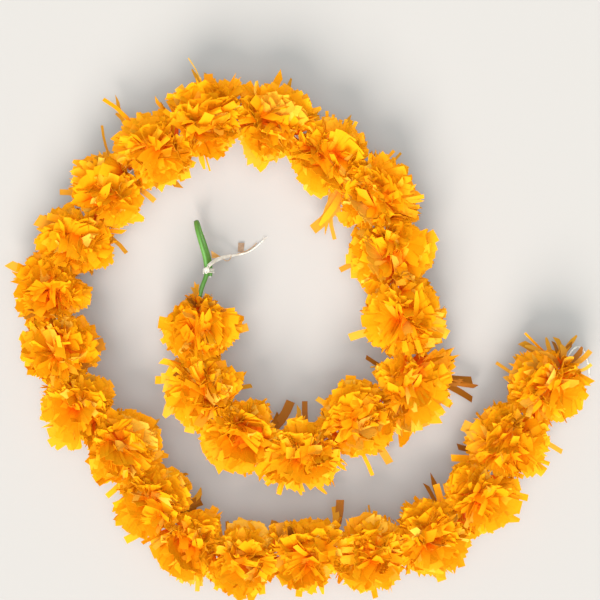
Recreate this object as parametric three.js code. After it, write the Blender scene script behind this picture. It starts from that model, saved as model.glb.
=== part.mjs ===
// An artificial marigold garland: fringed film blooms strung on one thread and laid in an open spiral, with a
// folded straw at its inner end as a hanging loop. Millimetres, +Z up, origin under the middle of the garland.
import * as THREE from "three";

/* ---- driving dimensions ---- */

const AXIS_HEIGHT = 31; // the thread's height over the surface, with the blooms' undersides pressed flat
const FREE_HALF = 26; // from the centre of an end bloom to its free end
const NEIGHBOUR_GAP = 0.3; // between blooms pressed together, shared by the two
const ROUNDING = 1e-6; // a foot's corners count as on the surface
const SEED = 28;

// Each bloom's centre and its radius across the thread, from the inner end of the spiral to the outer one.
const BLOOMS = [
  [-86, 5, 37], [-84, -49, 35], [-50, -87, 37], [3, -107, 36], [50, -74, 37], [98, -48, 38], [92, 14, 39],
  [80, 70, 38], [68, 117, 38], [27, 151, 38], [-23, 184, 39], [-79, 187, 39], [-127, 157, 37], [-166, 124, 36],
  [-194, 78, 37], [-215, 37, 37], [-206, -15, 38], [-191, -63, 37], [-151, -100, 36], [-125, -145, 37],
  [-93, -183, 36], [-47, -197, 36], [6, -191, 38], [62, -191, 38], [114, -176, 37], [157, -141, 37],
  [179, -97, 38], [217, -44, 38],
];

// Strips that stand out past the rest of their bloom: the bloom's number and where the tip reaches.
const STRAYS = [
  [1, -43, 7], [1, -92, 43], [2, -38, -44], [3, -8, -62], [4, 29, -135], [4, 5, -59], [5, 79, -114],
  [5, 43, -37], [6, 135, -20], [6, 148, -50], [6, 124, -71], [7, 42, -2], [8, 35, 55], [9, 83, 159],
  [10, 45, 190], [10, 60, 167], [10, 9, 88], [11, -12, 227], [12, -91, 236], [13, -172, 205],
  [14, -211, 123], [14, -126, 114],
  [15, -230, 102], [15, -149, 68], [16, -256, 61], [16, -236, 11], [17, -167, -11], [18, -160, -50],
  [19, -117, -101], [19, -168, -144], [20, -164, -157], [20, -83, -135], [20, -150, -182], [22, -66, -230],
  [23, 1, -230], [23, 38, -144], [24, 62, -152],
  [25, 114, -121], [26, 200, -144], [27, 141, -80], [27, 231, -103], [28, 196, 0], [28, 243, -1],
  [28, 255, -14], [28, 256, -46], [28, 177, -37],
];

const COLUMNS = 8; // strips round the thread in one row
const ROWS = 6; // rows along the thread; an even number, so that the last ring meets the bore's corners
const CORE_SHARE = 0.64; // size of the core that the strips stand out of, as a share of the bloom's
const END_ANGLE = 0.12; // polar angle of the first ring, radians
const FULLNESS = 0.6; // below 1 fills a bloom out from an ellipsoid towards a barrel
const BORE_RADIUS = 1.5;
const STRIP_WIDTH = 12; // square-cut tip, where it lies round the thread
const UPRIGHT_WIDTH = 9; // and where it lies along the thread
const STRIP_THICKNESS = 1.1;
const FOOT_HALF = 2.2; // half the depth of a tip pressed flat on the surface
const FOOT_SLOPE = 0.8; // a strip steeper than this, as a sine, ends in a foot
const STRIP_TURN = 0.35; // most that a tip is turned about its own length, radians
const PRESSED_TURN = 0.4; // share of that turn left to the strips pressed against a neighbour
const UPRIGHT_SHARE = 0.4; // share of the other strips whose width lies along the thread
const SHORTEST_STRIP = 0.87; // of the bloom's radius
const LONGEST_STRIP = 1.06;
const STRIP_LEAN = 0.15; // most that a tip leans off its own cell, in cells
const STRAY_REACH = 0.97; // a stray's tip centre, of the distance to where its corners reach
const CELL_MIDDLE = 0.75; // in cells: a half, and a quarter for each ring being turned half a cell on the last
const ROUND_STEP = 0.1; // radians, to find which way is round the thread

const THREAD_RADIUS = 0.8;
const THREAD_SIDES = 6;
const THREAD_OUT = 1.2; // how far the thread shows past each end of its run
const CORD_SIDES = 8;

const STRAW_RADIUS = 2;
const STRAW_BORE = 1.4;
const STRAW_SIDES = 8;
const STRAW_BORE_SIDES = 6;
const STRAW_STEPS = 26;

// The straw's centre line: out of the first bloom, round the fold and back under the lashing.
const STRAW_ROUTE = [
  [-86.5, 31.8, 31], [-84.4, 40, 29.6], [-82, 46.5, 28.2], [-80.7, 51, 27.4], [-80.5, 54.5, 27.2],
  [-80.7, 58, 27.3], [-82.2, 67, 28.2], [-85.6, 79, 28], [-88.6, 89.5, 25.2], [-90, 96.6, 20.4],
  [-89.6, 96.6, 15.2], [-87.4, 89.5, 11.6], [-84, 80, 10.6], [-81, 71, 12.4], [-78.8, 64, 17],
  [-77.8, 58.5, 21.9], [-77.7, 54.5, 22.7], [-77.7, 49.6, 22.8],
];

// The lashing's turns run round both legs of the straw, whose centres stand this far from its middle.
const LASHING_CENTRE = [-79.1, 54, 24.95];
const LEG_OFFSET = [-1.4, 0, 2.25];
const LASHING_TURNS = 3;
const LASHING_PITCH = 1.9;
const LASHING_POINTS = 8; // to a turn
const LASHING_RADIUS = 3.5;

// The free tail, from the lashing down to the surface and along it.
const TAIL_ROUTE = [
  [-78.6, 58.4, 30.4], [-76.4, 60.6, 29], [-73.6, 62.8, 26], [-70.6, 64.6, 22.2], [-67.4, 66, 18],
  [-64.2, 67, 13.8], [-61, 67.8, 9.9], [-57.8, 68.5, 6.4], [-54.6, 69.1, 3.6], [-51.2, 69.7, 1.7],
  [-47.6, 70.5, 0.85], [-44, 71.9, 0.85], [-40.6, 74.1, 0.85], [-37.4, 76.6, 0.85], [-34.3, 79.4, 0.85],
];

// The thread's outer end, past the stop knot behind the last bloom.
const END_ROUTE = [
  [234.1, -20.2, 31], [235.7, -17.9, 30.9], [237.4, -15.6, 30.2], [239.6, -13.7, 28.4], [242.2, -12.6, 25.2], [244.9, -12.4, 21.4],
  [247.5, -13.1, 17.4], [249.8, -14.7, 13.4], [251.7, -17, 9.6], [253.3, -19.7, 6.2], [254.7, -22.7, 3.4],
  [255.9, -25.9, 1.5], [256.8, -29.3, 0.85], [257.3, -32.9, 0.85], [257.4, -36.5, 0.85],
];

const KNOT_RADIUS = 2.1; // from the thread's middle to the middle of the knot's turn
const KNOT_TUBE = 1;
const KNOT_BACK = 0.8; // from the last bloom's free end to the knot's middle

const SCRAP_THICKNESS = 0.8;
// Two scraps of film at the tail: outline corners in plan, height of the underside, and what they are called.
const SCRAPS = [
  { name: "film_scrap_1", outline: [[-54.4, 71.4], [-49.2, 71.7], [-48.4, 79.2], [-53.9, 79.6]], height: 0 },
  { name: "film_scrap_2", outline: [[-76, 70.4], [-69.6, 66.6], [-75.4, 65.4]], height: 20.2 },
];

const FILM = { color: 0xf39a16, roughness: 0.45, metalness: 0 };
const SCRAP_FILM = { color: 0xb5793a, roughness: 0.5, metalness: 0 };
const STRAW_GREEN = { color: 0x5fa53c, roughness: 0.35, metalness: 0 };
const THREAD_WHITE = { color: 0xf2ede4, roughness: 0.9, metalness: 0 };

/* ---- shared helpers ---- */

// Seeded random numbers, so that the garland comes out the same each time.
function randomSource(seed) {
  let state = seed;
  return () => {
    state = (Math.imul(state, 1664525) + 1013904223) >>> 0;
    return state / 2 ** 32;
  };
}

function between(random, low, high) {
  return low + (high - low) * random();
}

const LEANS = [1, 0.8, 0.6, 0.4, 0.2]; // share kept of a strip's lean off the middle of its wedge
// Pairs of shares, of a strip's length and of its width, with the largest strips first.
const LENGTHS = [1, 0.96, 0.92, 0.88, 0.84, 0.8, 0.75, 0.7, 0.65, 0.6, 0.5, 0.4, 0.3];
const WIDTHS = [1, 0.85, 0.7, 0.55, 0.4, 0.25];
const FITTINGS = LENGTHS.flatMap((length) => WIDTHS.map((width) => [length, width]))
  .sort((a, b) => b[0] * b[1] - a[0] * a[1]);

function vectors(points) {
  return points.map((point) => new THREE.Vector3(...point));
}

function polygon(radius, sides) {
  return Array.from({ length: sides }, (_, i) => {
    const angle = (i / sides) * 2 * Math.PI;
    return new THREE.Vector2(radius * Math.cos(angle), radius * Math.sin(angle));
  });
}

function namedMesh(name, geometry, finish) {
  const mesh = new THREE.Mesh(geometry, new THREE.MeshStandardMaterial(finish));
  mesh.name = name;
  return mesh;
}

// A route whose sections stand exactly at its own points, each one a mitre between its two straight runs.
class Route extends THREE.Curve {
  constructor(points) {
    super();
    this.points = points;
  }

  getPoint(t, target = new THREE.Vector3()) {
    const at = t * (this.points.length - 1);
    const i = Math.min(Math.floor(at), this.points.length - 2);
    return target.lerpVectors(this.points[i], this.points[i + 1], at - i);
  }

  getPointAt(u, target) {
    return this.getPoint(u, target);
  }

  getTangentAt(u, target = new THREE.Vector3()) {
    const last = this.points.length - 1;
    const i = Math.round(u * last);
    const here = this.points[i];
    const coming = here.clone().sub(this.points[Math.max(i - 1, 0)]).normalize();
    const going = this.points[Math.min(i + 1, last)].clone().sub(here).normalize();
    return target.copy(coming).add(going).normalize();
  }
}

function tube(points, shape) {
  const route = new Route(points);
  const steps = points.length - 1;
  return new THREE.ExtrudeGeometry(shape, { steps, extrudePath: route, bevelEnabled: false });
}

/* ---- the string of blooms ---- */

const centres = BLOOMS.map(([x, y]) => new THREE.Vector3(x, y, AXIS_HEIGHT));

// Where each bloom meets the next, with the free ends first and last.
function junctions() {
  const last = centres.length - 1;
  const freeEnd = (end, inner) => {
    const out = centres[end].clone().sub(centres[inner]).setLength(FREE_HALF);
    return centres[end].clone().add(out);
  };
  const middles = centres.slice(1).map((c, i) => c.clone().add(centres[i]).multiplyScalar(0.5));
  return [freeEnd(0, 1), ...middles, freeEnd(last, last - 1)];
}

// The frame of one bloom: its thread comes in at "before" and leaves at "after", both seen from its centre.
class BloomFrame {
  constructor(centre, before, after) {
    this.before = before.clone().sub(centre);
    this.after = after.clone().sub(centre);
    const turnIn = Math.atan2(-this.before.y, -this.before.x);
    const turnOut = Math.atan2(this.after.y, this.after.x);
    this.turnIn = turnIn;
    this.turn = Math.atan2(Math.sin(turnOut - turnIn), Math.cos(turnOut - turnIn));
  }

  // The point at "along" (-1 to 1 down the thread), "out" from the thread, and "angle" round it.
  place(along, out, angle) {
    const axis = along < 0 ? this.before : this.after;
    const heading = this.turnIn + (this.turn * (along + 1)) / 2;
    const side = out * Math.cos(angle);
    return new THREE.Vector3(side * Math.sin(heading), -side * Math.cos(heading), out * Math.sin(angle))
      .addScaledVector(axis, Math.abs(along));
  }

  // Whether a point stays on this bloom's own side of both neighbours, and above the surface.
  holds(point) {
    return (
      point.z >= -AXIS_HEIGHT - ROUNDING &&
      [this.before, this.after].every((end) => {
        const reach = end.length();
        return point.dot(end) / reach <= reach - NEIGHBOUR_GAP / 2;
      })
    );
  }
}

// A point on the bloom's barrel, or with a "share" below 1 on a smaller one inside it.
function barrelPoint(frame, radius, share, polar, angle) {
  const along = -Math.sign(Math.cos(polar)) * Math.abs(Math.cos(polar)) ** FULLNESS;
  return frame.place(along * share, radius * share * Math.sin(polar) ** FULLNESS, angle);
}

// Each strip keeps to the wedge between the bloom's centre and its own root, so no two strips can cross.
function inWedge(point, base) {
  return base.every((corner, i) => corner.clone().cross(base[(i + 1) % 4]).dot(point) >= 0);
}

// The four corners of a strip's tip: "half" gives its half sizes round and along the thread.
function tipCorners(centre, root, round, half, turn, flat) {
  const lengthwise = flat ? new THREE.Vector3(0, 0, -1) : centre.clone().sub(root).normalize();
  const wide = round.clone().addScaledVector(lengthwise, -round.dot(lengthwise)).normalize();
  wide.applyAxisAngle(lengthwise, turn);
  const thick = wide.clone().cross(lengthwise);
  return [[-1, -1], [-1, 1], [1, 1], [1, -1]].map(([w, t]) =>
    centre.clone().addScaledVector(wide, w * half[0]).addScaledVector(thick, t * half[1]),
  );
}

// A tip that would reach past a neighbour or through the surface is drawn back along its strip and narrowed.
// One that points down ends in a flat foot on the surface.
function fittedTip(frame, base, tip, round, half, turn) {
  const root = base.reduce((sum, corner) => sum.add(corner), new THREE.Vector3()).multiplyScalar(0.25);
  const straight = root.clone().setLength(tip.length());
  const lean = LEANS.find((share) => inWedge(straight.clone().lerp(tip, share), base)) ?? 0;
  const out = straight.lerp(tip, lean).sub(root);
  const fits = (corners) => corners.every((corner) => frame.holds(corner) && inWedge(corner, base));
  const toFloor = (-AXIS_HEIGHT - root.z) / out.z;
  const foot = root.clone().addScaledVector(out, toFloor);
  if (out.z < 0 && toFloor < 1 && -out.z > FOOT_SLOPE * out.length()) {
    foot.z = -AXIS_HEIGHT;
    const corners = tipCorners(foot, root, round, half.map((h) => Math.max(h, FOOT_HALF)), 0, true);
    if (fits(corners)) return corners;
  }
  for (const [length, width] of FITTINGS) {
    const centre = root.clone().addScaledVector(out, length);
    const corners = tipCorners(centre, root, round, half.map((h) => h * width), turn, false);
    if (fits(corners)) return corners;
  }
  throw new Error("a strip has no room");
}

// One bloom: rows of tapering strips raised on a barrel core, which share their edges at the root, with the
// thread's bore through it. Two triangles to each side of a strip and two to its tip.
function bloomGeometry(frame, radius, strays, random) {
  const vertices = [];
  const faces = [];
  const cell = (2 * Math.PI) / COLUMNS;
  const phase = between(random, 0, cell);
  const rise = (Math.PI - 2 * END_ANGLE) / ROWS;
  const swirl = between(random, -STRIP_LEAN, STRIP_LEAN);
  const quad = (a, b, c, d) => faces.push(a, b, c, a, c, d);
  const add = (point) => vertices.push(point) - 1;
  const angleOf = (row, column) => phase + (column + row / 2) * cell;

  const rings = Array.from({ length: ROWS + 1 }, (_, row) =>
    Array.from({ length: COLUMNS }, (_, column) =>
      add(barrelPoint(frame, radius, CORE_SHARE, END_ANGLE + row * rise, angleOf(row, column))),
    ),
  );
  const cells = [];
  for (let row = 0; row < ROWS; row++) {
    for (let column = 0; column < COLUMNS; column++) {
      const next = (column + 1) % COLUMNS;
      const base = [rings[row][column], rings[row + 1][column], rings[row + 1][next], rings[row][next]];
      const polar = END_ANGLE + (row + 0.5 + between(random, -STRIP_LEAN, STRIP_LEAN)) * rise;
      const lean = swirl + between(random, -STRIP_LEAN, STRIP_LEAN);
      const angle = angleOf(row, column) + (CELL_MIDDLE + lean) * cell;
      const length = radius * between(random, SHORTEST_STRIP, LONGEST_STRIP);
      const tip = barrelPoint(frame, length, 1, polar, angle);
      const pressed = row === 0 || row === ROWS - 1;
      const upright = random() < UPRIGHT_SHARE && !pressed;
      const width = upright ? UPRIGHT_WIDTH : STRIP_WIDTH;
      const half = [width / 2, STRIP_THICKNESS / 2];
      const turn = between(random, -STRIP_TURN, STRIP_TURN) * (pressed ? PRESSED_TURN : 1);
      cells.push({ base, polar, angle, tip, turn, half: upright ? half.reverse() : half });
    }
  }
  for (const stray of strays) {
    const facing = (one) => one.tip.dot(stray) / one.tip.length();
    const best = cells.filter((one) => !one.stray).reduce((a, b) => (facing(a) > facing(b) ? a : b));
    best.stray = true;
    best.tip.setLength(Math.max(stray.length() * STRAY_REACH, best.tip.length()));
  }
  for (const { base, angle, polar, tip, turn, half } of cells) {
    const round = barrelPoint(frame, radius, 1, polar, angle + ROUND_STEP)
      .sub(barrelPoint(frame, radius, 1, polar, angle - ROUND_STEP));
    const top = fittedTip(frame, base.map((i) => vertices[i]), tip, round, half, turn).map(add);
    base.forEach((corner, i) => quad(corner, base[(i + 1) % 4], top[(i + 1) % 4], top[i]));
    quad(...top);
  }
  const middle = rings[0].map((_, column) => add(frame.place(0, BORE_RADIUS, angleOf(0, column))));
  for (let column = 0; column < COLUMNS; column++) {
    const next = (column + 1) % COLUMNS;
    const far = (i) => rings[ROWS][(i - ROWS / 2 + COLUMNS) % COLUMNS];
    quad(rings[0][column], rings[0][next], middle[next], middle[column]);
    quad(middle[column], middle[next], far(next), far(column));
  }
  const positions = new THREE.Float32BufferAttribute(vertices.flatMap((v) => v.toArray()), 3);
  return new THREE.BufferGeometry().setAttribute("position", positions).setIndex(faces);
}

function stringOfBlooms() {
  const random = randomSource(SEED);
  const ends = junctions();
  const group = new THREE.Group();
  BLOOMS.forEach(([, , radius], i) => {
    const frame = new BloomFrame(centres[i], ends[i], ends[i + 1]);
    const own = STRAYS.filter(([bloom]) => bloom === i + 1);
    const strays = own.map(([, x, y]) => new THREE.Vector3(x, y, AXIS_HEIGHT).sub(centres[i]));
    const name = "bloom_" + String(i + 1).padStart(2, "0");
    const mesh = namedMesh(name, bloomGeometry(frame, radius, strays, random), FILM);
    mesh.position.copy(centres[i]);
    group.add(mesh);
  });
  return group;
}

/* ---- the straw loop and the thread ---- */

const strawLine = new THREE.CatmullRomCurve3(vectors(STRAW_ROUTE)).getSpacedPoints(STRAW_STEPS);

function strawLoop() {
  const shape = new THREE.Shape(polygon(STRAW_RADIUS, STRAW_SIDES));
  shape.holes.push(new THREE.Path(polygon(STRAW_BORE, STRAW_BORE_SIDES).reverse()));
  return namedMesh("straw_loop", tube(strawLine, shape), STRAW_GREEN);
}

// The point past the end of a run, in line with its last stretch.
function past(end, before, distance) {
  return end.clone().add(end.clone().sub(before).setLength(distance));
}

// One length of thread: in at the straw's cut end, round the fold and through the bore of every bloom.
function stringingThread() {
  const ends = junctions();
  const inStraw = [...strawLine].reverse();
  const inBlooms = centres.flatMap((centre, i) => [ends[i], centre]);
  const lastEnd = ends[ends.length - 1];
  const points = [
    past(inStraw[0], inStraw[1], THREAD_OUT),
    ...inStraw,
    ...inBlooms,
    lastEnd,
    past(lastEnd, centres[centres.length - 1], KNOT_BACK + KNOT_TUBE + THREAD_OUT),
  ];
  const section = new THREE.Shape(polygon(THREAD_RADIUS, THREAD_SIDES));
  return namedMesh("thread", tube(points, section), THREAD_WHITE);
}

function cord(name, route) {
  const shape = new THREE.Shape(polygon(THREAD_RADIUS, CORD_SIDES));
  return namedMesh(name, tube(vectors(route), shape), THREAD_WHITE);
}

// Turns of thread round both legs of the straw: half circles round each leg, joined by straight runs.
function lashing() {
  const legs = new THREE.Vector3(...LEG_OFFSET);
  const across = legs.clone().normalize();
  const along = new THREE.Vector3(0, 1, 0);
  const sideways = across.clone().cross(along);
  const count = LASHING_TURNS * LASHING_POINTS;
  const points = Array.from({ length: count + 1 }, (_, i) => {
    const angle = ((i + 0.5) / LASHING_POINTS) * 2 * Math.PI;
    return new THREE.Vector3(...LASHING_CENTRE)
      .addScaledVector(legs, Math.sign(Math.cos(angle)))
      .addScaledVector(across, LASHING_RADIUS * Math.cos(angle))
      .addScaledVector(sideways, LASHING_RADIUS * Math.sin(angle))
      .addScaledVector(along, (i / count - 0.5) * LASHING_TURNS * LASHING_PITCH);
  });
  const section = new THREE.Shape(polygon(THREAD_RADIUS, THREAD_SIDES));
  return namedMesh("thread_tie", tube(points, section), THREAD_WHITE);
}

// The knot's turn lies round the thread, against the free end of the last bloom.
function stopKnot() {
  const ends = junctions();
  const end = ends[ends.length - 1];
  const out = end.clone().sub(centres[centres.length - 1]).normalize();
  const knot = namedMesh("stop_knot", new THREE.TorusGeometry(KNOT_RADIUS, KNOT_TUBE, 6, 10), THREAD_WHITE);
  knot.position.copy(end).addScaledVector(out, KNOT_BACK);
  knot.quaternion.setFromUnitVectors(new THREE.Vector3(0, 0, 1), out);
  return knot;
}

function filmScrap({ name, outline, height }) {
  const shape = new THREE.Shape(outline.map(([x, y]) => new THREE.Vector2(x, y)));
  const plate = new THREE.ExtrudeGeometry(shape, { depth: SCRAP_THICKNESS, bevelEnabled: false });
  const mesh = namedMesh(name, plate, SCRAP_FILM);
  mesh.position.z = height;
  return mesh;
}

const garland = new THREE.Group();
garland.add(stringOfBlooms(), strawLoop(), stringingThread(), lashing(), stopKnot());
garland.add(cord("thread_tail", TAIL_ROUTE), cord("thread_end", END_ROUTE));
SCRAPS.forEach((scrap) => garland.add(filmScrap(scrap)));

export default garland;
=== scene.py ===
"""Dresses an artificial marigold garland.

Twenty-eight pompom blooms of square-cut orange film stand on one thread, which is laid in an open spiral. A
folded green straw at the inner end is the hanging loop: it is lashed with the same thread, whose free tail
runs down to the surface with a few scraps of film on it. Lengths in the tables are in millimetres, and
everything built is in metres.
"""

import logging
import math
from dataclasses import dataclass, field
from enum import Enum

import bpy
import numpy as np
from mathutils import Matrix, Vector


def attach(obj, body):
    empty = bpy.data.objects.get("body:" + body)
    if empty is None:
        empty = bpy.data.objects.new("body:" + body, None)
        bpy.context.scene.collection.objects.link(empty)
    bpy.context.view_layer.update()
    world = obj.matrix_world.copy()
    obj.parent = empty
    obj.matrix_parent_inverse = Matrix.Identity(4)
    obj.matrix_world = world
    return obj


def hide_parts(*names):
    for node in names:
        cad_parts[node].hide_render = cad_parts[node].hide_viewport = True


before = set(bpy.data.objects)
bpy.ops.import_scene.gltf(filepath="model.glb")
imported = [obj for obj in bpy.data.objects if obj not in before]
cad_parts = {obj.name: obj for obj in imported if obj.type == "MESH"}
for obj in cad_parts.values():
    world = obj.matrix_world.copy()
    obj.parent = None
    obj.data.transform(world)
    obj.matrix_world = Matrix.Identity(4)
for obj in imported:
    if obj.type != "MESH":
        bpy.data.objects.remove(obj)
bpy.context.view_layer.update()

logging.basicConfig(level=logging.INFO, format="%(message)s")
log = logging.getLogger("garland")

Triple = tuple[float, float, float]
Colour = tuple[float, float, float, float]

MM = 0.001
BODY = "root"
AXIS_HEIGHT = 31.0  # of the thread over the surface
FREE_HALF = 26.0  # from the centre of an end bloom to its free end
THREAD_RADIUS = 0.8
UP = np.array([0.0, 0.0, 1.0])
LEVEL = np.array([1.0, 1.0, 0.0])  # what is left of a direction laid level
GOLDEN_ANGLE = 2.39996
SPAN_STEPS = 24  # of a smooth line, between two of the points that it goes through
TWIST_PITCH = 5.5  # of a thread, in its radii
YARN_DENT = 0.2  # how far a thread's groove goes in, as a share of its radius


# ---------------------------------------------------------------- shared helpers


def unit(vectors: np.ndarray) -> np.ndarray:
    """Vectors at length one, along the last axis."""
    return vectors / np.maximum(np.linalg.norm(vectors, axis=-1, keepdims=True), 1e-12)


def square_to(vector: np.ndarray, way: np.ndarray) -> np.ndarray:
    """A unit vector near another one, and square to a unit direction."""
    return unit(vector - way * (vector @ way))


def turned(vectors: np.ndarray, axes: np.ndarray, angles: np.ndarray | float) -> np.ndarray:
    """Vectors turned about unit axes.

    Args:
        vectors: what is turned, one a row, or a single one.
        axes: the unit axis of each one, square to it.
        angles: the turn of each one, in radians.

    Returns:
        The turned vectors.
    """
    return vectors * np.cos(angles)[..., None] + np.cross(axes, vectors) * np.sin(angles)[..., None]


def distances(line: np.ndarray) -> np.ndarray:
    """How far each point of a line is from its start, along it."""
    return np.concatenate([[0], np.cumsum(np.linalg.norm(np.diff(line, axis=0), axis=1))])


def smooth_line(points: np.ndarray, spacing: float) -> np.ndarray:
    """A Catmull-Rom line through points, evenly spaced.

    Args:
        points: the points that the line goes through.
        spacing: the distance between the line's own points.

    Returns:
        The line's points.
    """
    ends = np.vstack([2 * points[0] - points[1], points, 2 * points[-1] - points[-2]])
    share = np.linspace(0, 1, SPAN_STEPS, endpoint=False)[:, None]
    runs = []
    for a, b, c, d in zip(ends, ends[1:], ends[2:], ends[3:]):
        square = (2 * a - 5 * b + 4 * c - d) * share**2
        cube = (3 * b - a - 3 * c + d) * share**3
        runs.append(0.5 * (2 * b + (c - a) * share + square + cube))
    line = np.vstack([*runs, points[-1:]])
    gone = distances(line)
    at = np.linspace(0, gone[-1], max(4, math.ceil(gone[-1] / spacing) + 1))
    return np.stack([np.interp(at, gone, line[:, k]) for k in range(3)], axis=1)


def line_frames(line: np.ndarray) -> tuple[np.ndarray, np.ndarray]:
    """Two directions across a line that turn as little as they can.

    Args:
        line: its points.

    Returns:
        Both directions at each of its points.
    """
    tangents = unit(np.gradient(line, axis=0))
    across = np.empty_like(line)
    start = np.cross(tangents[0], UP)
    across[0] = unit(start if np.linalg.norm(start) > 0.1 else np.cross(tangents[0], [0.0, 1.0, 0.0]))
    for i in range(1, len(line)):
        across[i] = square_to(across[i - 1], tangents[i])
    return across, np.cross(tangents, across)


def new_mesh(name: str, points: np.ndarray, faces: list, smooth: bool = True) -> bpy.types.Object:
    """A mesh object at the origin.

    Args:
        name: what the piece is called.
        points: its vertices, in metres.
        faces: the vertices of each face.
        smooth: whether its faces are shaded smooth.

    Returns:
        The object, in the scene.
    """
    mesh = bpy.data.meshes.new(name)
    mesh.from_pydata(points.tolist(), [], faces)
    mesh.polygons.foreach_set("use_smooth", [smooth] * len(mesh.polygons))
    mesh.update()
    piece = bpy.data.objects.new(name, mesh)
    bpy.context.collection.objects.link(piece)
    return piece


def add_piece(
    piece: bpy.types.Object, finish: bpy.types.Material, nodes: tuple[str, ...] = ()
) -> bpy.types.Object:
    """Gives a piece its finish and its place in the table, and reports it.

    Args:
        piece: the finished object.
        finish: its material.
        nodes: the CAD nodes that it stands for.

    Returns:
        The same object.
    """
    piece.data.materials.clear()
    piece.data.materials.append(finish)
    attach(piece, BODY)
    if nodes:
        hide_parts(*nodes)
    log.info("%s: %d faces", piece.name, len(piece.data.polygons))
    return piece


def ring_faces(rings: int, sides: int) -> list[tuple[int, int, int, int]]:
    """The faces between rings of vertices, facing away from the line that they go round.

    Args:
        rings: how many rings there are.
        sides: how many vertices each one has.

    Returns:
        The vertices of each face.
    """
    faces = []
    for i in range(rings - 1):
        for j in range(sides):
            k = (j + 1) % sides
            faces.append((i * sides + j, i * sides + k, (i + 1) * sides + k, (i + 1) * sides + j))
    return faces


def twisted_thread(line: np.ndarray, radius: float, sides: int, closed: bool) -> tuple[np.ndarray, list]:
    """The skin of a thread of two yarns twisted together.

    Args:
        line: the points down its middle, in metres.
        radius: its outer radius.
        sides: the corners of its section.
        closed: whether its end joins its start.

    Returns:
        Its vertices, and its faces.
    """
    across, over = line_frames(line)
    gone = distances(line)
    pitch = radius * TWIST_PITCH
    turn = gone * 2 * math.pi / pitch
    if closed:
        turn = gone / gone[-1] * 2 * math.pi * round(gone[-1] / pitch)
    angle = np.linspace(0, 2 * math.pi, sides, endpoint=False)
    size = radius * (1 - YARN_DENT + YARN_DENT * np.cos(2 * (angle[None, :] - turn[:, None])))
    spoke_across = (size * np.cos(angle))[..., None] * across[:, None, :]
    spoke_over = (size * np.sin(angle))[..., None] * over[:, None, :]
    skin = (line[:, None, :] + spoke_across + spoke_over).reshape(-1, 3)
    faces = ring_faces(len(line), sides)
    last = len(skin) - sides
    if closed:
        faces += [(last + j, last + (j + 1) % sides, (j + 1) % sides, j) for j in range(sides)]
    else:
        faces += [tuple(range(sides))[::-1], tuple(last + j for j in range(sides))]
    return skin, faces


def threads_mesh(
    name: str, lines: list[np.ndarray], radius: float, sides: int = 10, rings: int = 0
) -> bpy.types.Object:
    """Twisted threads as one piece.

    Args:
        name: what the piece is called.
        lines: the points down the middle of each thread, in metres.
        radius: their outer radius.
        sides: the corners of their sections.
        rings: how many of them, from the first one on, are closed rings.

    Returns:
        The piece.
    """
    points, faces, start = [], [], 0
    for number, line in enumerate(lines):
        skin, skin_faces = twisted_thread(line, radius, sides, closed=number < rings)
        points.append(skin)
        faces += [tuple(i + start for i in face) for face in skin_faces]
        start += len(skin)
    return new_mesh(name, np.vstack(points), faces)


# ---------------------------------------------------------------- finishes


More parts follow.
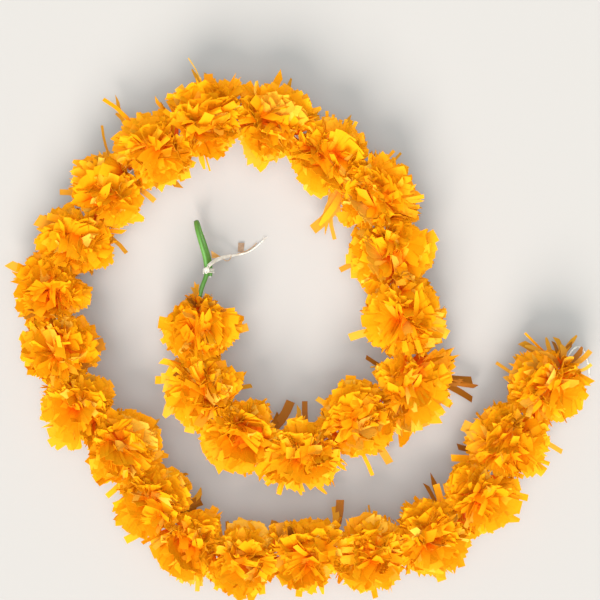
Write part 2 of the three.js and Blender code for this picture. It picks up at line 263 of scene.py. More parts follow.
class Shading:
    """A material's nodes, made one after another."""

    def __init__(self, name: str) -> None:
        """Starts an empty node tree.

        Args:
            name: what the material is called.
        """
        self.material = bpy.data.materials.new(name)
        self.material.use_nodes = True
        self.tree = self.material.node_tree
        self.tree.nodes.clear()
        self.output = self.add("ShaderNodeOutputMaterial")

    def add(self, kind: str, **values: object) -> bpy.types.Node:
        """A node of a kind, with its inputs set or linked by name.

        Args:
            kind: the node's type.
            values: a socket to link in, or a number or colour to set; underscores stand for spaces, and a
                name in lower case is a setting of the node.

        Returns:
            The node.
        """
        node = self.tree.nodes.new(kind)
        for name, value in values.items():
            if name[0].islower():
                setattr(node, name, value)
                continue
            key = int(name[1:]) if name[1:].isdigit() else name.replace("_", " ")
            place = node.inputs[key]
            if isinstance(value, bpy.types.NodeSocket):
                self.tree.links.new(value, place)
            else:
                place.default_value = value
        return node

    def ramp(self, factor: bpy.types.NodeSocket, stops: list[tuple[float, Colour]]) -> bpy.types.NodeSocket:
        """A colour ramp.

        Args:
            factor: what it reads.
            stops: each place along it, with its colour.

        Returns:
            Its colour.
        """
        node = self.add("ShaderNodeValToRGB", Fac=factor)
        ramp = node.color_ramp
        while len(ramp.elements) < len(stops):
            ramp.elements.new(0.5)
        for element, (place, colour) in zip(ramp.elements, stops):
            element.position, element.color = place, colour
        return node.outputs["Color"]

    def place(self) -> bpy.types.NodeSocket:
        """Where a point is on the garland, in metres."""
        return self.add("ShaderNodeTexCoord").outputs["Object"]

    def mixed(
        self, factor: object, first: object, second: object, blend: str = "MIX"
    ) -> bpy.types.NodeSocket:
        """Two colours mixed, by a factor that is a number or a socket."""
        node = self.add("ShaderNodeMix", data_type="RGBA", blend_type=blend, I0=factor, I6=first, I7=second)
        return node.outputs[2]

    def scaled(self, value: bpy.types.NodeSocket, times: float, plus: float = 0.0) -> bpy.types.NodeSocket:
        """A number times one number, plus another."""
        node = self.add("ShaderNodeMath", operation="MULTIPLY_ADD", I0=value, I1=times, I2=plus)
        return node.outputs[0]

    def noise(self, place: bpy.types.NodeSocket, scale: float, detail: float = 2.0) -> bpy.types.NodeSocket:
        """Noise over a place, from 0 to 1."""
        return self.add("ShaderNodeTexNoise", Vector=place, Scale=scale, Detail=detail).outputs["Fac"]

    def bumped(
        self,
        height: bpy.types.NodeSocket,
        depth: float,
        strength: float = 1.0,
        under: bpy.types.NodeSocket | None = None,
    ) -> bpy.types.NodeSocket:
        """A normal bumped by a height.

        Args:
            height: what it reads, from 0 to 1.
            depth: how high a bump at 1 stands, in metres.
            strength: how much of it shows.
            under: another bump that it lies over, if there is one.

        Returns:
            The normal.
        """
        node = self.add("ShaderNodeBump", Height=height, Distance=depth, Strength=strength)
        if under is not None:
            self.tree.links.new(under, node.inputs["Normal"])
        return node.outputs["Normal"]

    def plastic(
        self, colour: bpy.types.NodeSocket, normal: bpy.types.NodeSocket, translucence: float, **skin: float
    ) -> bpy.types.Material:
        """Finishes the material as plastic that light comes through.

        Args:
            colour: of the plastic.
            normal: its bumped normal.
            translucence: the share of the light that comes through.
            skin: what else its face is given, such as its roughness.

        Returns:
            The material.
        """
        face = self.add("ShaderNodeBsdfPrincipled", Base_Color=colour, Normal=normal, **skin)
        through = self.add("ShaderNodeBsdfTranslucent", Color=colour, Normal=normal)
        both = self.add("ShaderNodeMixShader", I0=translucence, I1=face.outputs[0], I2=through.outputs[0])
        return self.finish(both)

    def finish(self, shader: bpy.types.Node) -> bpy.types.Material:
        """Puts the last shader on the surface, and returns the material."""
        self.tree.links.new(shader.outputs[0], self.output.inputs["Surface"])
        return self.material


@dataclass(frozen=True)
class FilmFinish:
    """Thin, slightly glossy plastic film that light comes through. It reads each strip's own attribute."""

    name: str = "film"
    # painted shade: the root colour is a deep red that stands in for the dim, reddened light deep inside
    # each bloom
    root: Colour = (0.93, 0.14, 0.002, 1)
    body: Colour = (0.94, 0.355, 0.003, 1)
    tip: Colour = (0.94, 0.41, 0.005, 1)
    # painted highlight: the pale colour stands in for sheen on film faces that catch the light
    pale: Colour = (0.94, 0.55, 0.06, 1)
    # painted shade: brown stands in for orange film that lies in shadow or is lit from behind
    brown: Colour = (0.34, 0.11, 0.010, 1)
    deep: Colour = (0.99, 0.85, 0.60, 1)
    bright: Colour = (1.0, 1.02, 1.2, 1)
    roughness: float = 0.5
    gloss: float = 0.09
    translucence: float = 0.16

    def material(self) -> bpy.types.Material:
        """Builds the film's nodes.

        Returns:
            The material.
        """
        s = Shading(self.name)
        strip = s.add("ShaderNodeAttribute", attribute_name="film")
        parts = s.add("ShaderNodeSeparateColor", Color=strip.outputs["Color"])
        tint, along, pale = parts.outputs[0], parts.outputs[1], parts.outputs[2]
        brown = strip.outputs["Alpha"]
        # painted shade: the colour darkens to deep red towards each strip's root, deep inside the bloom
        colour = s.ramp(along, [(0.3, self.root), (0.65, self.body), (0.97, self.tip)])
        shade = s.ramp(tint, [(0.0, self.deep), (0.5, (1, 1, 1, 1)), (1.0, self.bright)])
        colour = s.mixed(1.0, colour, shade, "MULTIPLY")
        # painted highlight: pale strips, scattered at random, stand for faces catching the light
        colour = s.mixed(pale, colour, self.pale)
        # painted shade: brown strips stand for film in shadow or lit from behind
        colour = s.mixed(brown, colour, self.brown)
        cut = s.add("ShaderNodeUVMap", uv_map="strip").outputs["UV"]
        lengthwise = s.add("ShaderNodeMapping", Vector=cut, Scale=(1.0, 0.06, 1.0)).outputs["Vector"]
        streaks = s.noise(lengthwise, 900.0, 3.0)
        streaked = s.ramp(streaks, [(0.3, (0.98, 0.94, 0.90, 1)), (0.7, (1, 1, 1, 1))])
        colour = s.mixed(0.7, colour, streaked, "MULTIPLY")
        creased = s.bumped(s.noise(s.place(), 260.0, 3.0), 0.0006, 0.5)
        normal = s.bumped(streaks, 0.0001, 0.5, creased)
        return s.plastic(
            colour, normal, self.translucence, Roughness=self.roughness, Specular_IOR_Level=self.gloss
        )


@dataclass(frozen=True)
class ScrapFinish:
    """Brown film of the torn scraps on the tail."""

    name: str
    colour: Colour
    worn: Colour
    roughness: float = 0.5
    translucence: float = 0.3

    def material(self) -> bpy.types.Material:
        """Builds the scrap's nodes.

        Returns:
            The material.
        """
        s = Shading(self.name)
        place = s.place()
        colour = s.ramp(s.noise(place, 420.0, 4.0), [(0.35, self.colour), (0.65, self.worn)])
        normal = s.bumped(s.noise(place, 900.0, 3.0), 0.0003, 0.6)
        return s.plastic(colour, normal, self.translucence, Roughness=self.roughness)


@dataclass(frozen=True)
class StrawFinish:
    """Green drinking straw: glossy moulded plastic with fine draw lines along it."""

    name: str = "straw"
    colour: Colour = (0.165, 0.41, 0.085, 1)
    dark: Colour = (0.105, 0.28, 0.040, 1)
    roughness: float = 0.36
    translucence: float = 0.18

    def material(self) -> bpy.types.Material:
        """Builds the straw's nodes.

        Returns:
            The material.
        """
        s = Shading(self.name)
        skin_map = s.add("ShaderNodeUVMap", uv_map="skin").outputs["UV"]
        drawn = s.add("ShaderNodeMapping", Vector=skin_map, Scale=(40.0, 30.0, 1.0)).outputs[0]
        lines = s.noise(drawn, 1.0, 3.0)
        cloud = s.noise(s.place(), 120.0, 3.0)
        colour = s.ramp(s.mixed(0.5, lines, cloud), [(0.35, self.dark), (0.65, self.colour)])
        normal = s.bumped(lines, 0.0001, 0.4, s.bumped(cloud, 0.0005, 0.4))
        return s.plastic(colour, normal, self.translucence, Roughness=self.roughness)


@dataclass(frozen=True)
class ThreadFinish:
    """Matt spun thread, with fine fibres over its twist."""

    name: str = "thread"
    colour: Colour = (0.86, 0.83, 0.76, 1)
    worn: Colour = (0.66, 0.60, 0.50, 1)

    def material(self) -> bpy.types.Material:
        """Builds the thread's nodes.

        Returns:
            The material.
        """
        s = Shading(self.name)
        place = s.place()
        fibres = s.noise(place, 2600.0, 4.0)
        soil = s.noise(place, 160.0, 3.0)
        colour = s.ramp(soil, [(0.35, self.worn), (0.6, self.colour)])
        colour = s.mixed(s.scaled(fibres, 0.5), colour, self.worn)
        normal = s.bumped(fibres, 0.0002, 0.7)
        skin = s.add(
            "ShaderNodeBsdfPrincipled", Base_Color=colour, Roughness=0.88, Sheen_Weight=0.25, Normal=normal
        )
        return s.finish(skin)


@dataclass(frozen=True)
class FloorFinish:
    """Plain pale paper under the garland."""

    name: str = "floor"
    colour: Colour = (0.425, 0.403, 0.389, 1)

    def material(self) -> bpy.types.Material:
        """Builds the floor's nodes."""
        s = Shading(self.name)
        return s.finish(s.add("ShaderNodeBsdfPrincipled", Base_Color=self.colour, Roughness=0.9))


# ---------------------------------------------------------------- the studio


@dataclass
class Studio:
    """The camera over the garland, soft light from the near side, and a pale floor."""

    middle: Triple = (0.00087, 0.0287, 0.031)
    width: float = 0.522  # seen across the view, at the thread's height
    distance: float = 1.5
    key_colour: Triple = (1.0, 0.94, 0.88)
    key_from: Triple = (-0.14, -0.75, 0.64)
    key_strength: float = 4.4
    key_angle: float = math.radians(34)
    top_colour: Triple = (0.905, 0.975, 0.98)
    top_from: Triple = (0.0, -0.06, 1.0)
    top_strength: float = 1.19
    top_angle: float = math.radians(50)
    fill_strength: float = 1.66
    sky: Colour = (0.88, 0.98, 1.0, 1)
    sky_strength: float = 0.316
    diffuse_bounces: int = 2
    floor_half: float = 3.0
    floor_depth: float = 0.0004

    def camera(self) -> None:
        """Hangs the camera straight over the garland."""
        data = bpy.data.cameras.new("camera")
        data.sensor_width = 36.0
        data.lens = data.sensor_width * self.distance / self.width
        data.clip_start, data.clip_end = 0.05, 20.0
        camera = bpy.data.objects.new("camera", data)
        camera.location = Vector(self.middle) + Vector((0, 0, self.distance))
        bpy.context.collection.objects.link(camera)
        bpy.context.scene.camera = camera

    def sun(
        self,
        name: str,
        colour: Triple,
        towards: Triple,
        strength: float,
        angle: float,
        shadows: bool = True,
    ) -> None:
        """Adds a broad sun.

        Args:
            name: what the light is called.
            colour: of its light.
            towards: the direction that its light comes from.
            strength: in watts to the square metre.
            angle: how broad its disc is, which softens its shadows.
            shadows: whether it casts any; a plain fill does not.
        """
        data = bpy.data.lights.new(name, "SUN")
        data.energy, data.angle = strength, angle
        data.color = colour
        data.use_shadow = shadows
        sun = bpy.data.objects.new(name, data)
        sun.rotation_mode = "QUATERNION"
        sun.rotation_quaternion = Vector(towards).to_track_quat("Z", "Y")
        bpy.context.collection.objects.link(sun)

    def light(self) -> None:
        """Sets a low key light, a light overhead, a fill that casts no shadow, and an even sky."""
        self.sun("key", self.key_colour, self.key_from, self.key_strength, self.key_angle)
        self.sun("overhead", self.top_colour, self.top_from, self.top_strength, self.top_angle)
        self.sun("fill", self.top_colour, self.top_from, self.fill_strength, self.top_angle, shadows=False)
        world = bpy.data.worlds.new("sky")
        world.use_nodes = True
        back = world.node_tree.nodes["Background"]
        back.inputs["Color"].default_value = self.sky
        back.inputs["Strength"].default_value = self.sky_strength
        bpy.context.scene.world = world
        bpy.context.scene.view_settings.view_transform = "Standard"
        bpy.context.scene.view_settings.look = "None"
        bpy.context.scene.cycles.diffuse_bounces = self.diffuse_bounces

    def floor(self) -> None:
        """Lays the floor just under the surface that the garland lies on."""
        bpy.ops.object.select_all(action="DESELECT")
        bpy.ops.mesh.primitive_grid_add(
            x_subdivisions=4, y_subdivisions=4, size=2 * self.floor_half, location=(0, 0, -self.floor_depth)
        )
        floor = bpy.context.object
        floor.name = "floor"
        floor.data.materials.append(FloorFinish().material())


# ---------------------------------------------------------------- the string's own line

# Each bloom's centre and its radius across the thread, from the inner end of the spiral to the outer one.
BLOOMS = [
    (-86, 5, 37), (-84, -49, 35), (-50, -87, 37), (3, -107, 36), (50, -74, 37), (98, -48, 38), (92, 14, 39),
    (80, 70, 38), (68, 117, 38), (27, 151, 38), (-23, 184, 39), (-79, 187, 39), (-127, 157, 37),
    (-166, 124, 36), (-194, 78, 37), (-215, 37, 37), (-206, -15, 38), (-191, -63, 37), (-151, -100, 36),
    (-125, -145, 37), (-93, -183, 36), (-47, -197, 36), (6, -191, 38), (62, -191, 38), (114, -176, 37),
    (157, -141, 37), (179, -97, 38), (217, -44, 38),
]  # fmt: skip

CENTRES = np.array([(x, y, AXIS_HEIGHT) for x, y, _ in BLOOMS])


def junctions() -> np.ndarray:
    """Where each bloom meets the next.

    Returns:
        The places, with the string's two free ends first and last.
    """
    first = CENTRES[0] + unit(CENTRES[0] - CENTRES[1]) * FREE_HALF
    last = CENTRES[-1] + unit(CENTRES[-1] - CENTRES[-2]) * FREE_HALF
    return np.vstack([first, (CENTRES[1:] + CENTRES[:-1]) / 2, last])


ENDS = junctions()


@dataclass
class BloomPlace:
    """Where one bloom is: its thread comes in at "before" and leaves at "after", from its centre."""

    index: int  # its number on the string, from 0
    middle_reach: float = 1.02  # how far it stands out to its sides, as a share of its radius
    end_reach: float = 0.78
    free_end_reach: float = 0.55
    bend_reach: float = 0.25  # more on the outer side of a bend and less on its inner side, for each radian
    uneven_reach: float = 0.05
    uneven_seed: int = 500
    ends_at: float = 0.75  # where along the bloom its end reach holds
    ends_past: float = 1.35  # past this many times that place, it narrows no more
    narrowing: float = 1.6
    upright_narrowing: float = 0.2  # of its height, from its middle to its ends
    least_reach: float = 8.0
    squareness: float = 1.5  # how its section passes from its side to its top
    overhang: float = 1.15  # how far along the outer barrel goes, and so over the neighbours
    crowding: float = 0.7  # below 1, more of the barrel is near its ends
    flat_ends: float = 0.2  # near 0, the barrel stays wide up to its ends

    def __post_init__(self) -> None:
        """Finds the bloom's place on the string."""
        self.centre = CENTRES[self.index]
        self.radius = float(BLOOMS[self.index][2])
        self.before = ENDS[self.index] - self.centre
        self.after = ENDS[self.index + 1] - self.centre
        self.turn_in = math.atan2(-self.before[1], -self.before[0])
        out = math.atan2(self.after[1], self.after[0])
        self.turn = math.atan2(math.sin(out - self.turn_in), math.cos(out - self.turn_in))
        self.sides = self.side_reaches()

    def side_reaches(self) -> np.ndarray:
        """How far the bloom stands out sideways.

        Returns:
            Two rows, its right and its left, with its start, middle and end in each.
        """
        bend = self.bend_reach * self.turn
        start = self.free_end_reach if self.index == 0 else self.end_reach
        end = self.free_end_reach if self.index == len(BLOOMS) - 1 else self.end_reach
        right = [start + bend, self.middle_reach, end + bend]
        left = [start - bend, self.middle_reach, end - bend]
        uneven = np.random.default_rng(self.uneven_seed + self.index).normal(0, self.uneven_reach, (2, 3))
        return self.radius * (np.array([right, left]) + uneven)

    def at(self, along: np.ndarray, out: np.ndarray, angle: np.ndarray) -> np.ndarray:
        """Points in the bloom.

        Args:
            along: their places along the thread, -1 to 1.
            out: their distances from it.
            angle: their directions round it.

        Returns:
            The points, from the bloom's centre.
        """
        axis = np.where(along[:, None] < 0, self.before, self.after)
        heading = self.turn_in + self.turn * (along + 1) / 2
        side = out * np.cos(angle)
        offset = np.stack([side * np.sin(heading), -side * np.cos(heading), out * np.sin(angle)], axis=1)
        return offset + axis * np.abs(along)[:, None]

    def reach(self, along: np.ndarray, angle: np.ndarray) -> np.ndarray:
        """How far the bloom stands out from the thread.

        Args:
            along: the places along the thread, -1 to 1.
            angle: the directions round it.

        Returns:
            The distance at each of them.
        """
        start, middle, end = np.where(np.cos(angle) > 0, self.sides[0][:, None], self.sides[1][:, None])
        share = np.minimum(np.abs(along) / self.ends_at, self.ends_past) ** self.narrowing
        side = middle + (np.where(along < 0, start, end) - middle) * share
        side = np.maximum(side, self.least_reach)
        upright = self.radius * (1 - self.upright_narrowing * share)
        return upright + (side - upright) * np.abs(np.cos(angle)) ** self.squareness

    def barrel(self, share: np.ndarray, polar: np.ndarray, angle: np.ndarray) -> np.ndarray:
        """Points on the bloom's outer barrel, or on a smaller one inside it.

        Args:
            share: 1 on the outer one, and less inside it.
            polar: the places along the thread, 0 to pi.
            angle: the directions round it.

        Returns:
            The points, from the bloom's centre.
        """
        along = -np.sign(np.cos(polar)) * np.abs(np.cos(polar)) ** self.crowding * share * self.overhang
        return self.at(along, self.reach(along, angle) * share * np.sin(polar) ** self.flat_ends, angle)


# ---------------------------------------------------------------- cords


@dataclass
class Cords:
    """The two free ends of the thread, and what hangs on the inner one."""

    finish: bpy.types.Material
    brown_scrap: bpy.types.Material
    orange_scrap: bpy.types.Material
    spacing: float = 0.35
    strand_radius: float = 0.62
    fibre_radius: float = 0.16
    wisp_radius: float = 0.32
    scrap_wall: float = 0.22
    wisp_routes: list[list[Triple]] = field(
        default_factory=lambda: [
            [(-66.8, 66.2, 17), (-65.9, 64.2, 15), (-64.2, 63.2, 13), (-62.3, 63.4, 11.5),
             (-60.8, 64.8, 10.5), (-59.9, 67.6, 9.8)],
            [(-54, 69.9, 4), (-50.6, 70.9, 2.2), (-47, 72.2, 1.5), (-43.2, 74.2, 1.4), (-40.2, 76.6, 1.3),
             (-37.6, 79.6, 1.2)],
        ]  # fmt: skip
    )
    tail_route: list[Triple] = field(
        default_factory=lambda: [
            (-78.6, 58.4, 30.4), (-76.4, 60.6, 29), (-73.6, 62.8, 26), (-70.6, 64.6, 22.2), (-67.4, 66, 18),
            (-64.2, 67, 13.8), (-61, 67.8, 9.9), (-57.8, 68.5, 6.4), (-54.6, 69.1, 3.6), (-51.2, 69.7, 1.7),
            (-47.6, 70.5, 0.85), (-44, 71.9, 0.85), (-40.6, 74.1, 0.85), (-37.4, 76.6, 0.85),
            (-34.3, 79.4, 0.85),
        ]  # fmt: skip
    )
    end_route: list[Triple] = field(
        default_factory=lambda: [
            (234.1, -20.2, 31), (235.7, -17.9, 30.9), (237.4, -15.6, 30.2), (239.6, -13.7, 28.4),
            (242.2, -12.6, 25.2), (244.9, -12.4, 21.4), (247.5, -13.1, 17.4), (249.8, -14.7, 13.4),
            (251.7, -17, 9.6), (253.3, -19.7, 6.2), (254.7, -22.7, 3.4), (255.9, -25.9, 1.5),
            (256.8, -29.3, 0.85), (257.3, -32.9, 0.85), (257.4, -36.5, 0.85),
        ]  # fmt: skip
    )

    def scrap_plate(
        self, name: str, corners: list[tuple[float, float]], height: float, crumple: float, tilt: float
    ) -> bpy.types.Object:
        """A torn scrap of film: a grid drawn to four corners, crumpled, and given its thickness.

        Args:
            name: what the piece is called.
            corners: its corners in plan, in millimetres, in order round it.
            height: of its middle over the surface.
            crumple: how far it waves, in millimetres.
            tilt: how far its far side rises over its near side.

        Returns:
            The scrap.
        """
        bpy.ops.object.select_all(action="DESELECT")
        bpy.ops.mesh.primitive_grid_add(x_subdivisions=8, y_subdivisions=8, size=2, location=(0, 0, 0))
        piece = bpy.context.object
        piece.name = piece.data.name = name
        points = np.array([v.co for v in piece.data.vertices])
        u, v = ((points[:, k] + 1) / 2 for k in (0, 1))
        a, b, c, d = (np.array(corner) for corner in corners)
        near = np.outer((1 - u) * (1 - v), a) + np.outer(u * (1 - v), b)
        plan = near + np.outer(u * v, c) + np.outer((1 - u) * v, d)
        wave = crumple * (np.sin(3.1 * u + 1.2) * np.cos(2.6 * v) + 0.4 * np.sin(7 * u + 5 * v))
        placed = np.column_stack([plan, height + wave + tilt * (v - 0.5)]) * MM
        piece.data.vertices.foreach_set("co", placed.ravel())
        wall = piece.modifiers.new("wall", "SOLIDIFY")
        wall.thickness = self.scrap_wall * MM
        wall.offset = 0.0
        bpy.ops.object.modifier_apply(modifier="wall")
        return piece

    def fibres(self, name: str, line: np.ndarray, spread: list[Triple]) -> bpy.types.Object:
        """Fine fibres splayed out of a thread's cut end.

        Args:
            name: what the piece is called.
            line: the thread's own line, in millimetres.
            spread: for each fibre, its length, its turn to the side and its rise.

        Returns:
            The fibres, as one piece.
        """
        lines = []
        at, heading = line[-1], unit(line[-1] - line[-5])
        side = unit(np.cross(UP, heading))
        share = np.linspace(0, 1, 9)[:, None]
        for length, turn, rise in spread:
            run = at + heading * share * length + side * turn * share**1.6 + UP * rise * share**1.5
            run[:, 2] = np.maximum(run[:, 2], 0.25)
            lines.append(smooth_line(run, 0.5) * MM)
        return threads_mesh(name, lines, self.fibre_radius * MM, sides=6)

    def beside(self, name: str, line: np.ndarray, strands: list[Triple]) -> bpy.types.Object:
        """Shorter strands that lie against a thread from its start.

        Args:
            name: what the piece is called.
            line: the thread's own line, in millimetres.
            strands: for each one, its share of the thread's length, its place to the side and its rise.

        Returns:
            The strands, as one piece.
        """
        lines = []
        tangents = unit(np.gradient(line, axis=0))
        side = unit(np.cross(tangents, UP))
        for share, aside, rise in strands:
            count = max(8, int(len(line) * share))
            closing = (1 - (np.arange(count) / (count - 1)) ** 3)[:, None]
            run = line[:count] + side[:count] * aside * (0.45 + 0.55 * closing) + UP * rise * closing
            run[:, 2] = np.maximum(run[:, 2], self.strand_radius)
            lines.append(run * MM)
        return threads_mesh(name, lines, self.strand_radius * MM, sides=8)

    def wisps(self) -> bpy.types.Object:
        """Narrow curled wisps of film, caught on the thread."""
        lines = [smooth_line(np.array(route, float), 0.4) * MM for route in self.wisp_routes]
        return threads_mesh("film_wisps", lines, self.wisp_radius * MM, sides=6)

    def build(self) -> None:
        tail = smooth_line(np.array(self.tail_route), self.spacing)
        end = smooth_line(np.array(self.end_route), self.spacing)
        beside = [(0.72, 1.15, 0.2), (0.5, -1.1, 0.3), (0.3, 0.2, 1.2)]
        strands = self.beside("thread_tail_strands", tail, beside)
        wisps = self.wisps()
        brown_corners = [(-54.4, 71.4), (-49.2, 71.7), (-48.4, 79.2), (-53.9, 79.6)]
        orange_corners = [(-77, 72.2), (-76.4, 65.1), (-69.2, 66.2), (-68.8, 66.8)]
        scraps = [
            self.scrap_plate("film_scrap_1_torn", brown_corners, height=1.0, crumple=0.3, tilt=0.4),
            self.scrap_plate("film_scrap_2_torn", orange_corners, height=20.6, crumple=0.35, tilt=0.3),
        ]
        add_piece(scraps[0], self.brown_scrap, ("film_scrap_1",))
        add_piece(scraps[1], self.orange_scrap, ("film_scrap_2",))
        tail_spread = [(7, 0.6, 0.5), (5.5, -1.2, 0.2), (6.2, 1.9, 1.2), (3.8, -2.4, 0.8), (8.5, -0.3, 0.1)]
        end_spread = [(4, 0.6, 0.4), (3.2, -1.0, 0.2), (3.6, 1.4, 0.8), (2.4, -1.6, 0.5)]
        frays = {
            "thread_tail": self.fibres("thread_tail_fibres", tail, tail_spread),
            "thread_end": self.fibres("thread_end_fibres", end, end_spread),
        }
        add_piece(strands, self.finish)
        add_piece(wisps, self.orange_scrap)
        for name, line, more in (("thread_tail", tail, [*scraps, strands, wisps]), ("thread_end", end, [])):
            fray = add_piece(frays[name], self.finish)
            piece = threads_mesh(f"{name}_twisted", [line * MM], THREAD_RADIUS * MM)
            add_piece(piece, self.finish, (name,))


@dataclass
class StrawLoop:
    """The folded straw: a thin-walled tube, flattened at the fold and nipped under the lashing."""

    finish: bpy.types.Material
    radius: float = 2.0
    wall: float = 0.32
    sides: int = 24
    spacing: float = 0.6
    route: list[Triple] = field(
        default_factory=lambda: [
            (-86.5, 31.8, 31), (-84.4, 40, 29.6), (-82, 46.5, 28.2), (-80.7, 51, 27.4), (-80.5, 54.5, 27.2),
            (-80.7, 58, 27.3), (-82.2, 67, 28.2), (-85.6, 79, 28), (-88.6, 89.5, 25.2), (-90, 96.6, 20.4),
            (-89.6, 96.6, 15.2), (-87.4, 89.5, 11.6), (-84, 80, 10.6), (-81, 71, 12.4), (-78.8, 64, 17),
            (-77.8, 58.5, 21.9), (-77.7, 54.5, 22.7), (-77.7, 49.6, 22.8),
        ]  # fmt: skip
    )
    fold_at: Triple = (-90, 97.5, 17.8)
    fold_reach: float = 9.0
    fold_flat: float = 0.30  # how far the fold is pressed in, as a share of its radius
    fold_spread: float = 0.10
    ripple: float = 0.10
    ripple_turn: float = 2.6  # radians of it to the millimetre
    nip_y: float = 54.0
    nip_reach: float = 3.2
    nip_under: float = 29.0  # only the straw below this height is nipped
    nip_depth: float = 0.16

    def line(self) -> np.ndarray:
        """The straw's centre line, in millimetres."""
        return smooth_line(np.array(self.route), self.spacing)

    def build(self) -> None:
        """Sweeps the straw's outer and inner walls along its line, and closes its two ends."""
        line = self.line()
        across, over = line_frames(line)
        near_fold = np.exp(-((np.linalg.norm(line - self.fold_at, axis=1) / self.fold_reach) ** 2))[:, None]
        near_nip = np.exp(-(((line[:, 1] - self.nip_y) / self.nip_reach) ** 2))
        near_nip = near_nip * (line[:, 2] < self.nip_under)
        gone = distances(line)
        bend = unit(np.gradient(np.gradient(line, axis=0), axis=0) + 1e-9)
        sideways = unit(np.cross(np.gradient(line, axis=0), bend))
        angle = np.linspace(0, 2 * math.pi, self.sides, endpoint=False)
        spoke = np.cos(angle)[None, :, None] * across[:, None, :]
        spoke = spoke + np.sin(angle)[None, :, None] * over[:, None, :]
        inward = (spoke * bend[:, None, :]).sum(2)
        outward = (spoke * sideways[:, None, :]).sum(2)
        ripple = self.ripple * np.sin(gone * self.ripple_turn)[:, None] * near_fold * np.clip(inward, 0, 1)
        pressed = 1 - near_fold * (self.fold_flat * inward**2 - self.fold_spread * outward**2)
        rings = []
        for inset in (0.0, self.wall):
            size = (self.radius - inset - self.nip_depth * near_nip[:, None] - ripple) * pressed
            rings.append((line[:, None, :] + size[..., None] * spoke).reshape(-1, 3))
        outer, inner = rings
        count = len(outer)
        faces = ring_faces(len(line), self.sides)
        faces += [tuple(i + count for i in face[::-1]) for face in ring_faces(len(line), self.sides)]
        last = count - self.sides
        for j in range(self.sides):
            k = (j + 1) % self.sides
            faces.append((k, j, j + count, k + count))
            faces.append((last + j, last + k, last + k + count, last + j + count))
        piece = new_mesh("straw_loop_walled", np.vstack([outer, inner]) * MM, faces)
        around = np.tile(np.arange(self.sides) / self.sides, len(line))
        down = np.repeat(gone * MM, self.sides)
        where = np.column_stack([np.tile(around, 2), np.tile(down, 2)])
        corner = np.zeros(len(piece.data.loops), dtype=np.int32)
        piece.data.loops.foreach_get("vertex_index", corner)
        skin = piece.data.uv_layers.new(name="skin")
        skin.data.foreach_set("uv", where[corner].ravel())
        add_piece(piece, self.finish, ("straw_loop",))


